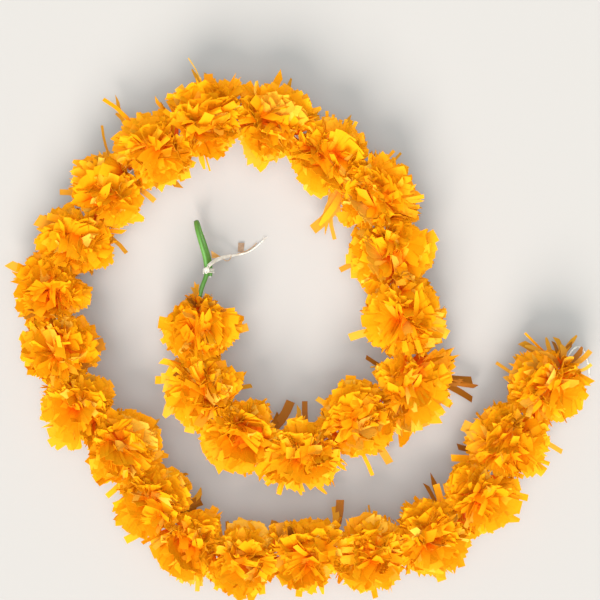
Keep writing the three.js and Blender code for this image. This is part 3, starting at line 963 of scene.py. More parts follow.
@dataclass
class MainThread:
    """The thread from the straw's cut end through every bloom, with its lashing and its stop knot."""

    finish: bpy.types.Material
    straw: StrawLoop
    shown: float = 1.2  # past the straw's cut end
    past_knot: float = 3.0
    centre: Triple = (-79.1, 54, 24.95)
    legs: Triple = (-1.4, 0, 2.25)
    turns: int = 3
    pitch: float = 1.35
    turn_radius: float = 2.95
    turn_thread: float = 0.62
    tie_knot_at: Triple = (-80.2, 54.4, 31.2)
    leads: list[list[Triple]] = field(
        default_factory=lambda: [
            [(-80.6, 54, 31.6), (-80.1, 56, 32), (-79.3, 58.2, 31.4), (-77.9, 60.2, 30.2),
             (-76.4, 61.6, 28.9)],
            [(-79.6, 53.8, 31.8), (-78.9, 55.8, 31.9), (-78, 57.6, 31.2), (-76.6, 59.2, 29.8),
             (-75, 60.6, 28.2)],
        ]  # fmt: skip
    )
    knot_radius: float = 1.5
    knot_tube: float = 0.95
    knot_back: float = 0.8

    def strung(self) -> bpy.types.Object:
        """Lays the thread inside the straw and the blooms.

        Returns:
            The thread.
        """
        inside = self.straw.line()[::-4]
        start = inside[0] + unit(inside[0] - inside[1]) * self.shown
        blooms = np.empty((2 * len(CENTRES), 3))
        blooms[0::2], blooms[1::2] = ENDS[:-1], CENTRES
        out = unit(ENDS[-1] - CENTRES[-1])
        points = np.vstack([start, inside, blooms, ENDS[-1], ENDS[-1] + out * self.past_knot])
        return threads_mesh("thread_twisted", [smooth_line(points, 1.0) * MM], THREAD_RADIUS * MM)

    def lashing(self) -> bpy.types.Object:
        """Winds the turns round both legs of the straw.

        Returns:
            The turns, as one piece.
        """
        legs = np.array(self.legs)
        across = unit(legs)
        along = np.array([0.0, 1.0, 0.0])
        sideways = np.cross(across, along)
        count = self.turns * 8
        angle = (np.arange(count + 1) + 0.5) / 8 * 2 * math.pi
        points = (
            np.array(self.centre)
            + np.sign(np.cos(angle))[:, None] * legs
            + self.turn_radius * np.cos(angle)[:, None] * across
            + self.turn_radius * np.sin(angle)[:, None] * sideways
            + ((np.arange(count + 1) / count - 0.5) * self.turns * self.pitch)[:, None] * along
        )
        return threads_mesh("thread_tie_twisted", [smooth_line(points, 0.4) * MM], self.turn_thread * MM)

    def tie_knot(self) -> bpy.types.Object:
        """Ties the lashing's knot, on top of the legs where the tail leaves it.

        Returns:
            The knot with its two leads.
        """
        angle = np.linspace(0, 2 * math.pi, 72, endpoint=False)
        reach = 1.0 + 0.35 * np.cos(3 * angle)
        wide = 1.35 * reach * np.cos(2 * angle)
        long = 1.9 * reach * np.sin(2 * angle)
        line = np.array(self.tie_knot_at) + np.stack([wide, long, 0.5 * np.sin(3 * angle)], axis=1)
        leads = [smooth_line(np.array(lead), 0.4) * MM for lead in self.leads]
        return threads_mesh("thread_tie_knot", [line * MM, *leads], self.turn_thread * MM, rings=1)

    def knot(self) -> bpy.types.Object:
        """Ties an overhand knot, drawn tight round the thread's end.

        Returns:
            The knot.
        """
        out = unit(ENDS[-1] - CENTRES[-1])
        side, middle = unit(np.cross(out, UP)), ENDS[-1] + out * self.knot_back
        angle = np.linspace(0, 2 * math.pi, 96, endpoint=False)
        reach = self.knot_radius * (1.15 + 0.45 * np.cos(3 * angle))
        line = (
            middle
            + (reach * np.cos(2 * angle))[:, None] * side
            + (reach * np.sin(2 * angle))[:, None] * UP
            + (0.75 * np.sin(3 * angle))[:, None] * out
        )
        return threads_mesh("stop_knot_tied", [line * MM], self.knot_tube * MM, rings=1)

    def build(self) -> None:
        """Builds and dresses the thread's pieces."""
        add_piece(self.strung(), self.finish, ("thread",))
        add_piece(self.lashing(), self.finish, ("thread_tie",))
        add_piece(self.tie_knot(), self.finish)
        add_piece(self.knot(), self.finish, ("stop_knot",))


# ---------------------------------------------------------------- film strips


class TipCut(Enum):
    """How a strip's tip is cut."""

    SQUARE = 0
    SLANT = 1
    FORKED = 2
    ROUNDED = 3
    POINTED = 4
    TORN = 5


class Tone(Enum):
    """How a strip is coloured: its tint, its pale painted sheen and its brown painted shade."""

    GOLD = (0.6, 0.0, 0.0)
    BRIGHT = (0.95, 0.1, 0.0)
    DEEP = (0.2, 0.0, 0.0)
    PALE = (0.8, 0.75, 0.0)
    # painted shade: BROWN, BROWNISH and TAN mix in the brown colour, for strips in shadow or lit from
    # behind
    BROWN = (0.3, 0.0, 0.95)
    BROWNISH = (0.3, 0.0, 0.65)
    TAN = (0.6, 0.45, 0.45)
    THREAD = (0.9, 0.95, 0.0)

    def stands_off(self) -> bool:
        """Whether such a strip is unlike the rest of its bloom."""
        return self not in (Tone.GOLD, Tone.DEEP, Tone.THREAD)


class StripPattern:
    """The flat strip that is copied into the blooms: a thin slab one long and one wide, cut at its tip."""

    ROWS = 5  # runs of faces along it
    TIP_ROW = 0.99  # the tip's corners are past this place along it
    PUSHES: dict[TipCut, list[tuple[float, Triple]]] = {  # each corner's place across the tip, and its move
        TipCut.SLANT: [(-0.5, (0, -0.13, 0)), (0.0, (0, -0.06, 0))],
        TipCut.FORKED: [(0.0, (0, -0.19, 0))],
        TipCut.ROUNDED: [(-0.5, (0.17, -0.09, 0)), (0.5, (-0.17, -0.09, 0))],
        TipCut.POINTED: [(-0.5, (0.42, -0.05, 0)), (0.5, (-0.42, -0.02, 0))],
        TipCut.TORN: [(-0.5, (0.05, -0.16, 0)), (0.5, (-0.10, 0.0, 0))],
    }

    def __init__(self, cut: TipCut) -> None:
        """Models the strip in edit mode and keeps its points and faces.

        Args:
            cut: how its tip is cut.
        """
        bpy.ops.object.select_all(action="DESELECT")
        bpy.ops.mesh.primitive_cube_add(size=1, location=(0, 0.5, 0))
        piece = bpy.context.object
        bpy.ops.object.transform_apply(location=True, rotation=False, scale=False)
        self.piece = piece
        bpy.ops.object.mode_set(mode="EDIT")
        bpy.ops.mesh.select_mode(type="EDGE")
        self.pick_edges(1)
        bpy.ops.mesh.subdivide(number_cuts=self.ROWS - 1)
        self.pick_edges(0)
        bpy.ops.mesh.subdivide(number_cuts=1)
        bpy.ops.mesh.select_mode(type="VERT")
        for side, by in self.PUSHES.get(cut, []):
            self.push_tip(side, by)
        bpy.ops.object.mode_set(mode="OBJECT")
        self.points = np.array([v.co for v in piece.data.vertices])
        self.faces = self.halved(np.array([tuple(p.vertices) for p in piece.data.polygons]))
        mesh = piece.data
        bpy.data.objects.remove(piece)
        bpy.data.meshes.remove(mesh)

    def halved(self, quads: np.ndarray) -> np.ndarray:
        """Halves every face along the same diagonal on both sides, so that a twisted strip stays thick.

        Args:
            quads: the strip's faces.

        Returns:
            The triangles.
        """
        lead = self.points[:, 0] + self.points[:, 1]
        turn = (np.argmin(lead[quads], axis=1)[:, None] + np.arange(4)) % 4
        quads = np.take_along_axis(quads, turn, axis=1)
        return np.vstack([quads[:, [0, 1, 2]], quads[:, [0, 2, 3]]])

    def pick_edges(self, axis: int) -> None:
        """Selects every edge that runs along one axis.

        Args:
            axis: 0 for the edges across the strip, and 1 for those along it.
        """
        bpy.ops.mesh.select_all(action="DESELECT")
        bpy.ops.object.mode_set(mode="OBJECT")
        mesh = self.piece.data
        for edge in mesh.edges:
            a, b = (mesh.vertices[i].co for i in edge.vertices)
            run = b - a
            edge.select = abs(run[axis]) > 0.9 * run.length
        bpy.ops.object.mode_set(mode="EDIT")

    def push_tip(self, side: float, by: Triple) -> None:
        """Moves the tip's corners at one side.

        Args:
            side: their place across the strip.
            by: how far they move.
        """
        bpy.ops.mesh.select_all(action="DESELECT")
        bpy.ops.object.mode_set(mode="OBJECT")
        for vertex in self.piece.data.vertices:
            vertex.select = vertex.co.y > self.TIP_ROW and abs(vertex.co.x - side) < 0.1
        bpy.ops.object.mode_set(mode="EDIT")
        bpy.ops.transform.translate(value=by)


@dataclass
class Strip:
    """One film strip of a bloom, in millimetres from the bloom's centre."""

    root: np.ndarray  # where it leaves the thread
    tip: np.ndarray  # where it ends
    across: np.ndarray  # the direction of its width
    width: float
    tone: Triple  # its tint, how pale it is (painted sheen) and how brown it is (painted shade)
    cut: TipCut
    bend: float = 0.0  # how far it curves off its face, as a share of its length
    twist: float = 0.0  # how far its tip is turned about its length, in radians
    cup: float = 0.0  # how far it is hollowed across, as a share of its width
    droop: float = 0.0  # how far it hangs
    sweep: float = 0.0  # how far it curves along its own width
    firm: float = 0.0  # 1 if it keeps to its place past a neighbour


@dataclass
class Bloom:
    """One pompom: fans of overlapping strips, loose strips between them, and the strays that stand out."""

    place: BloomPlace
    patterns: dict[int, StripPattern]
    finish: bpy.types.Material
    broad: float
    strays: list[tuple]
    strips: list[Strip] = field(default_factory=list)
    fans: int = 21
    skirts: tuple[float, ...] = (0.15, 0.55, 0.95)  # their height round the thread, radians
    loose: int = 80
    caps: int = 60
    beside: float = 0.5  # share of the loose strips that fill the gap to a neighbour
    steps: int = 10
    thickness: float = 0.16
    root_width: float = 0.34
    reach_past: float = 1.5  # how far strips lean over a neighbour before they are pressed back
    pressed: float = 0.6
    cut_shares: tuple[float, ...] = (0.40, 0.22, 0.10, 0.05, 0.04, 0.19)  # of the tip cuts, in their order
    root_out: float = 1.2  # how far a strip's root is from the thread's middle
    floor_gap: float = 0.1  # between the film and the surface
    flat_under: float = 4.5  # below this height the strips turn flat on the surface
    widens_over: float = 0.6  # the share of its length over which a strip widens from its root
    map_gap: float = 31.0  # from strip to strip on the film's map
    pole_gap: float = 0.16  # how near a fan comes to the thread, as a polar angle
    raised_from: float = 0.45  # strays between these shares of the radius are raised to the upper side
    raised_to: float = 0.97
    raised_share: float = 0.87
    raised_by: float = 2.0
    smooth_under: float = math.radians(40)  # edges sharper than this are shaded sharp
    seed: int = 2800

    def __post_init__(self) -> None:
        """Seeds the bloom's own random numbers."""
        self.random = np.random.default_rng(self.seed + self.place.index)
        self.tint = float(self.random.uniform(-0.12, 0.12))

    def each(self, name: str) -> np.ndarray:
        """One value of every strip, in their order."""
        return np.array([getattr(strip, name) for strip in self.strips])

    def tip_cut(self) -> TipCut:
        """One tip at random, square-cut in the main."""
        return list(TipCut)[self.random.choice(len(TipCut), p=self.cut_shares)]

    def tone(self, pale_share: float = 0.04) -> Triple:
        """One strip's colour at random.

        Args:
            pale_share: how often it is a pale one.

        Returns:
            Its tint, and how pale and how brown it is.
        """
        tint = float(np.clip(self.random.normal(0.5 + self.tint, 0.2), 0, 1))
        # painted highlight: a few strips at random get the pale colour, which stands in for sheen
        pale = float(self.random.uniform(0.35, 0.85)) if self.random.random() < pale_share else 0.0
        return (tint, pale, 0.0)

    def spread_fan(self, spot: int) -> None:
        """Adds one of the fans that are spread evenly over the bloom.

        Args:
            spot: the fan's number, which gives its place.
        """
        rng = self.random
        share = (spot + 0.5) / self.fans
        polar = math.acos(np.clip(1 - 2 * share, -0.97, 0.97))
        angle = spot * GOLDEN_ANGLE + self.tint * 20
        broad = rng.random() < self.broad
        if rng.random() < abs(math.cos(angle)):
            slant = rng.normal(0.0, 0.3)
        else:
            slant = rng.normal(math.pi / 2, 0.5)
        self.add_fan(
            polar,
            angle=angle,
            width=rng.uniform(7.0, 10.5) if broad else rng.uniform(3.0, 6.0),
            count=int(rng.integers(5, 9)) if broad else int(rng.integers(7, 12)),
            slant=slant,
            overlap=rng.uniform(0.55, 0.75),
            bend=rng.normal(0.0, 0.30),
            roll=rng.normal(0.0, 0.22),
        )

    def skirt(self, angle: float) -> None:
        """Adds one broad smooth fan that lies along the string's side with its face up.

        Args:
            angle: its direction round the thread.
        """
        rng = self.random
        self.add_fan(
            math.pi / 2 + rng.normal(0, 0.25),
            angle=angle,
            width=rng.uniform(8.0, 11.0),
            count=int(rng.integers(7, 11)),
            slant=rng.normal(0.0, 0.12),
            overlap=rng.uniform(0.40, 0.52),
            bend=rng.normal(0.0, 0.12),
            roll=rng.normal(0.0, 0.08),
            loose=0.4,
        )

    def add_fan(
        self,
        polar: float,
        angle: float,
        width: float,
        count: int,
        slant: float,
        overlap: float,
        bend: float,
        roll: float,
        loose: float = 1.0,
    ) -> None:
        """Adds one fan of strips that were cut from the same sheet, and lie over one another.

        Args:
            polar: where its middle is along the thread, as a polar angle.
            angle: where its middle is round the thread.
            width: of its strips.
            count: how many strips it has.
            slant: the way that it spreads, from along the thread to round it.
            overlap: the step from strip to strip, as a share of their width.
            bend: how far its strips bend off their faces.
            roll: how far they are turned about their own length.
            loose: how much its strips differ; a fan at 0 is one smooth sheet.
        """
        rng, place = self.random, self.place
        length = rng.uniform(0.84, 1.04)
        step = width * overlap / place.radius
        order = np.arange(count) - (count - 1) / 2
        polars = np.clip(polar + order * step * math.cos(slant), self.pole_gap, math.pi - self.pole_gap)
        angles = angle + order * step * math.sin(slant) / np.maximum(np.sin(polars), 0.5)
        lengths = length + 0.12 * (rng.random(count) < 0.12)
        lengths = lengths + rng.normal(0, 0.28 / width, count)
        lengths = lengths - 0.010 * order**2 * rng.uniform(0, 0.6)
        tips = place.barrel(lengths, polars, angles)
        roots_along = np.full(count, np.clip(-math.cos(polar) * 0.3 + rng.normal(0, 0.4), -0.85, 0.85))
        roots = place.at(roots_along, np.full(count, self.root_out), angles)
        across = np.gradient(tips, axis=0)
        tint = self.tone()
        for i in range(count):
            shade = float(np.clip(tint[0] + rng.normal(0, 0.08), 0, 1))
            own = (shade, tint[1] * rng.uniform(0.6, 1), tint[2])
            out = unit(tips[i] - roots[i])
            side = turned(square_to(across[i], out), out, roll + rng.normal(0, 0.14 * loose))
            self.strips.append(
                Strip(
                    roots[i],
                    tips[i],
                    side,
                    width * rng.uniform(0.85, 1.1),
                    own,
                    self.tip_cut(),
                    bend=bend + rng.normal(0, 0.05 * loose),
                    twist=rng.normal(0, 0.25 * loose),
                    cup=rng.normal(0, 0.12 * loose),
                    droop=rng.uniform(0.0, 0.10),
                )
            )

    def add_cap(self) -> None:
        """Adds one strip of the upper side that has flopped over, with its face up."""
        rng, place = self.random, self.place
        polar = np.array([math.acos(rng.uniform(-0.9, 0.9))])
        angle = np.array([rng.uniform(0.18, math.pi - 0.18)])
        tip = place.barrel(np.array([rng.uniform(0.78, 1.08)]), polar, angle)[0]
        root = place.at(rng.uniform(-0.8, 0.8, 1), np.array([self.root_out]), angle)[0]
        out = unit(tip - root)
        level = unit(out * LEVEL + rng.normal(0, 0.8, 3) * LEVEL)
        side = turned(square_to(unit(np.cross(UP, level)), out), out, rng.normal(0, 0.3))
        face = np.cross(side, out)
        flop = rng.uniform(0.15, 0.75) * (1 if face @ level > 0 else -1)
        self.strips.append(
            Strip(
                root,
                tip,
                side,
                rng.uniform(4.0, 10.0),
                self.tone(0.10),
                self.tip_cut(),
                bend=flop,
                twist=rng.normal(0, 0.35),
                cup=rng.normal(0, 0.12),
                droop=rng.uniform(0, 0.15),
            )
        )

    def add_loose(self) -> None:
        """Adds one strip that went its own way, often one beside a neighbour."""
        rng, place = self.random, self.place
        angle = np.array([rng.uniform(0, 2 * math.pi)])
        if rng.random() < self.beside:
            along = np.array([rng.choice([-1, 1]) * rng.uniform(0.7, 1.12)])
            tip = place.at(along, place.reach(along, angle) * rng.uniform(0.65, 0.98), angle)[0]
            root = place.at(along * rng.uniform(0.5, 0.85), np.array([self.root_out]), angle)[0]
        else:
            polar = np.array([math.acos(rng.uniform(-0.95, 0.95))])
            tip = place.barrel(np.array([rng.uniform(0.8, 1.1)]), polar, angle)[0]
            root = place.at(rng.uniform(-0.7, 0.7, 1), np.array([self.root_out]), angle)[0]
        out = unit(tip - root)
        side = unit(np.cross(out, unit(rng.normal(size=3))))
        self.strips.append(
            Strip(
                root,
                tip,
                side,
                rng.uniform(2.5, 9.0),
                self.tone(0.08),
                self.tip_cut(),
                bend=rng.normal(0, 0.4),
                twist=rng.normal(0, 0.7),
                cup=rng.normal(0, 0.2),
                droop=rng.uniform(0, 0.12),
            )
        )

    def add_stray(self, stray: tuple) -> None:
        """Adds one strip that stands out past the rest, with its tip at a known place.

        A strip that is unlike the rest of its bloom lies on top of it, so its tip is raised to the bloom's
        upper side where that is higher.

        Args:
            stray: its tip's place, its width, its cut, its tone and how far it sweeps, if that is known.
        """
        x, y, z, width, cut, tone, *known = stray
        rng = self.random
        sweep = known[0] if known else rng.normal(0, 0.25)
        tip = np.array([x, y, z], float) - self.place.centre
        inside = math.hypot(tip[0], tip[1]) / (self.raised_to * self.place.radius)
        if tone.stands_off() and self.raised_from < inside < 1:
            dome = self.raised_share * self.place.radius * math.sqrt(1 - inside**2)
            tip[2] = max(tip[2], self.raised_by + dome)
        flat = unit(np.array([-tip[1], tip[0], 0.0]))
        heading = self.place.after - self.place.before
        root = heading * np.clip(tip @ heading / (heading @ heading), -0.3, 0.3)
        out = unit(tip - root)
        side = turned(square_to(flat, out), out, rng.normal(0, 0.25))
        self.strips.append(
            Strip(
                root,
                tip,
                side,
                width,
                tone.value,
                cut,
                bend=rng.normal(0, 0.2),
                twist=rng.normal(0, 0.35),
                sweep=sweep,
                firm=1.0,
            )
        )

    def paths(self) -> tuple[np.ndarray, np.ndarray, np.ndarray]:
        """Lays every strip's middle line, pressed on the surface and against the neighbours.

        Returns:
            For each strip and step: the point, the direction across, and the direction off its face.
        """
        root, tip, side = self.each("root"), self.each("tip"), self.each("across")
        run = tip - root
        length = np.linalg.norm(run, axis=1)
        out = run / length[:, None]
        face = np.cross(side, out)
        bend, droop, sweep, twist, firm = (
            self.each(name)[:, None] for name in ("bend", "droop", "sweep", "twist", "firm")
        )
        low = -AXIS_HEIGHT + self.random.uniform(0.4, 2.2, len(root))
        points = [root]
        stride = (length / self.steps)[:, None]
        for k in range(1, self.steps + 1):
            share = (k - 0.5) / self.steps
            way = unit(
                out
                + face * bend * 2 * (share - 0.35)
                + side * sweep * 2 * (share - 0.5)
                - UP * droop * 2 * share
            )
            ahead = points[-1] + way * stride
            under = ahead[:, 2] < low
            if under.any():
                level = unit(way[under] * LEVEL + side[under] * LEVEL * 1e-3 + 1e-6)
                behind = points[-1][under]
                drop = np.minimum(behind[:, 2] - low[under], stride[under, 0])
                flat = np.sqrt(np.maximum(stride[under, 0] ** 2 - drop**2, 0))
                ahead[under] = behind + level * flat[:, None]
                ahead[under, 2] = np.maximum(behind[:, 2] - drop, low[under])
            points.append(ahead)
        line = np.stack(points, axis=1)
        for end in (self.place.before, self.place.after):
            reach = np.linalg.norm(end)
            way = end / reach
            over = np.maximum(line @ way - (reach + self.reach_past), 0)
            line = line - way * (over * self.pressed * (1 - firm))[..., None]
        tangent = unit(np.gradient(line, axis=1))
        wide = side[:, None, :] - tangent * (tangent * side[:, None, :]).sum(2)[..., None]
        wide = unit(wide)
        share = np.linspace(0, 1, self.steps + 1)
        wide = turned(wide, tangent, twist * share[None, :])
        room = np.clip((line[..., 2] + AXIS_HEIGHT - 2 * self.floor_gap) / self.flat_under, 0, 1)
        wide[..., 2] *= room
        wide = unit(wide - tangent * (tangent * wide).sum(2)[..., None] * room[..., None])
        return line, wide, unit(np.cross(wide, tangent))

    def skin(self) -> tuple[np.ndarray, np.ndarray, np.ndarray, np.ndarray]:
        """Copies the strip patterns along every strip's line.

        Returns:
            The vertices, the faces, each vertex's film attribute and its place on its own strip.
        """
        line, wide, off = self.paths()
        cuts = np.array([strip.cut.value for strip in self.strips])
        widths, cups, tones = self.each("width"), self.each("cup"), self.each("tone")
        lengths = np.linalg.norm(np.diff(line, axis=1), axis=2).sum(1)
        points, faces, film, cut_map, start = [], [], [], [], 0
        for value, pattern in self.patterns.items():
            own = np.flatnonzero(cuts == value)
            if not len(own):
                continue
            flat = pattern.points
            at = np.clip(flat[:, 1], 0, 1) * self.steps
            low = np.minimum(at.astype(int), self.steps - 1)
            part = (at - low)[None, :, None]
            where, width, face = (
                v[own][:, low] * (1 - part) + v[own][:, low + 1] * part for v in (line, wide, off)
            )
            opening = np.clip(flat[:, 1] / self.widens_over, 0, 1) ** 0.8
            spread = self.root_width + (1 - self.root_width) * opening
            across = flat[None, :, 0] * widths[own][:, None] * spread[None, :]
            hollow = cups[own][:, None] * widths[own][:, None]
            bow = hollow * (4 * flat[None, :, 0] ** 2 - 0.5) * flat[None, :, 1]
            lift = bow + flat[None, :, 2] * self.thickness
            solid = where + width * across[..., None] + face * lift[..., None]
            upper = flat[None, :, 2] * np.where(face[..., 2] < 0, -1, 1) + 0.5
            lowest = -AXIS_HEIGHT + self.floor_gap + 0.5 * self.thickness * upper
            solid[..., 2] = np.maximum(solid[..., 2], lowest)
            points.append(solid.reshape(-1, 3))
            order = (np.arange(len(own)) * len(flat))[:, None, None] + start
            faces.append((pattern.faces[None] + order).reshape(-1, 3))
            start += solid.shape[0] * solid.shape[1]
            values = np.empty((len(own), len(flat), 4))
            values[..., 0] = tones[own][:, None, 0]
            values[..., 1] = flat[None, :, 1]
            values[..., 2] = tones[own][:, None, 1]
            values[..., 3] = tones[own][:, None, 2]
            film.append(values.reshape(-1, 4))
            aside = across + own[:, None] * self.map_gap
            place = np.stack([aside, flat[None, :, 1] * lengths[own][:, None]], axis=2)
            cut_map.append(place.reshape(-1, 2) * MM)
        return np.vstack(points), np.vstack(faces), np.vstack(film), np.vstack(cut_map)

    def build(self) -> None:
        """Fills the bloom with strips and dresses it."""
        for spot in range(self.fans):
            self.spread_fan(spot)
        for lift in self.skirts:
            self.skirt(lift)
            self.skirt(math.pi - lift)
        for _ in range(self.loose):
            self.add_loose()
        for _ in range(self.caps):
            self.add_cap()
        for stray in self.strays:
            self.add_stray(stray)
        points, faces, film, cut_map = self.skin()
        name = f"bloom_{self.place.index + 1:02d}"
        piece = new_mesh(f"{name}_fringe", (points + self.place.centre) * MM, faces.tolist())
        data = piece.data
        data.attributes.new("film", "FLOAT_COLOR", "POINT").data.foreach_set("color", film.ravel())
        corner = np.zeros(len(data.loops), dtype=np.int32)
        data.loops.foreach_get("vertex_index", corner)
        data.uv_layers.new(name="strip").data.foreach_set("uv", cut_map[corner].ravel())
        bpy.ops.object.select_all(action="DESELECT")
        piece.select_set(True)
        bpy.context.view_layer.objects.active = piece
        bpy.ops.object.shade_smooth_by_angle(angle=self.smooth_under)
        add_piece(piece, self.finish, (name,))


# How much of each bloom is broad panels; the rest is narrow fringe.
BROAD = [
    0.6, 0.5, 0.4, 0.45, 0.4, 0.45, 0.6, 0.7, 0.65, 0.5, 0.75, 0.8, 0.8, 0.6, 0.7, 0.6, 0.5, 0.6, 0.7, 0.7,
    0.6, 0.7, 0.7, 0.6, 0.7, 0.6, 0.6, 0.4,
]  # fmt: skip

# Strips that stand out past the rest, by their bloom's number: the tip's place, the width, the cut, the
# tone, and how far it sweeps where that is known.
SQUARE, SLANT, FORKED, ROUNDED, POINTED, TORN = TipCut
GOLD, BRIGHT, DEEP, PALE, BROWN, BROWNISH, TAN, THREAD = Tone
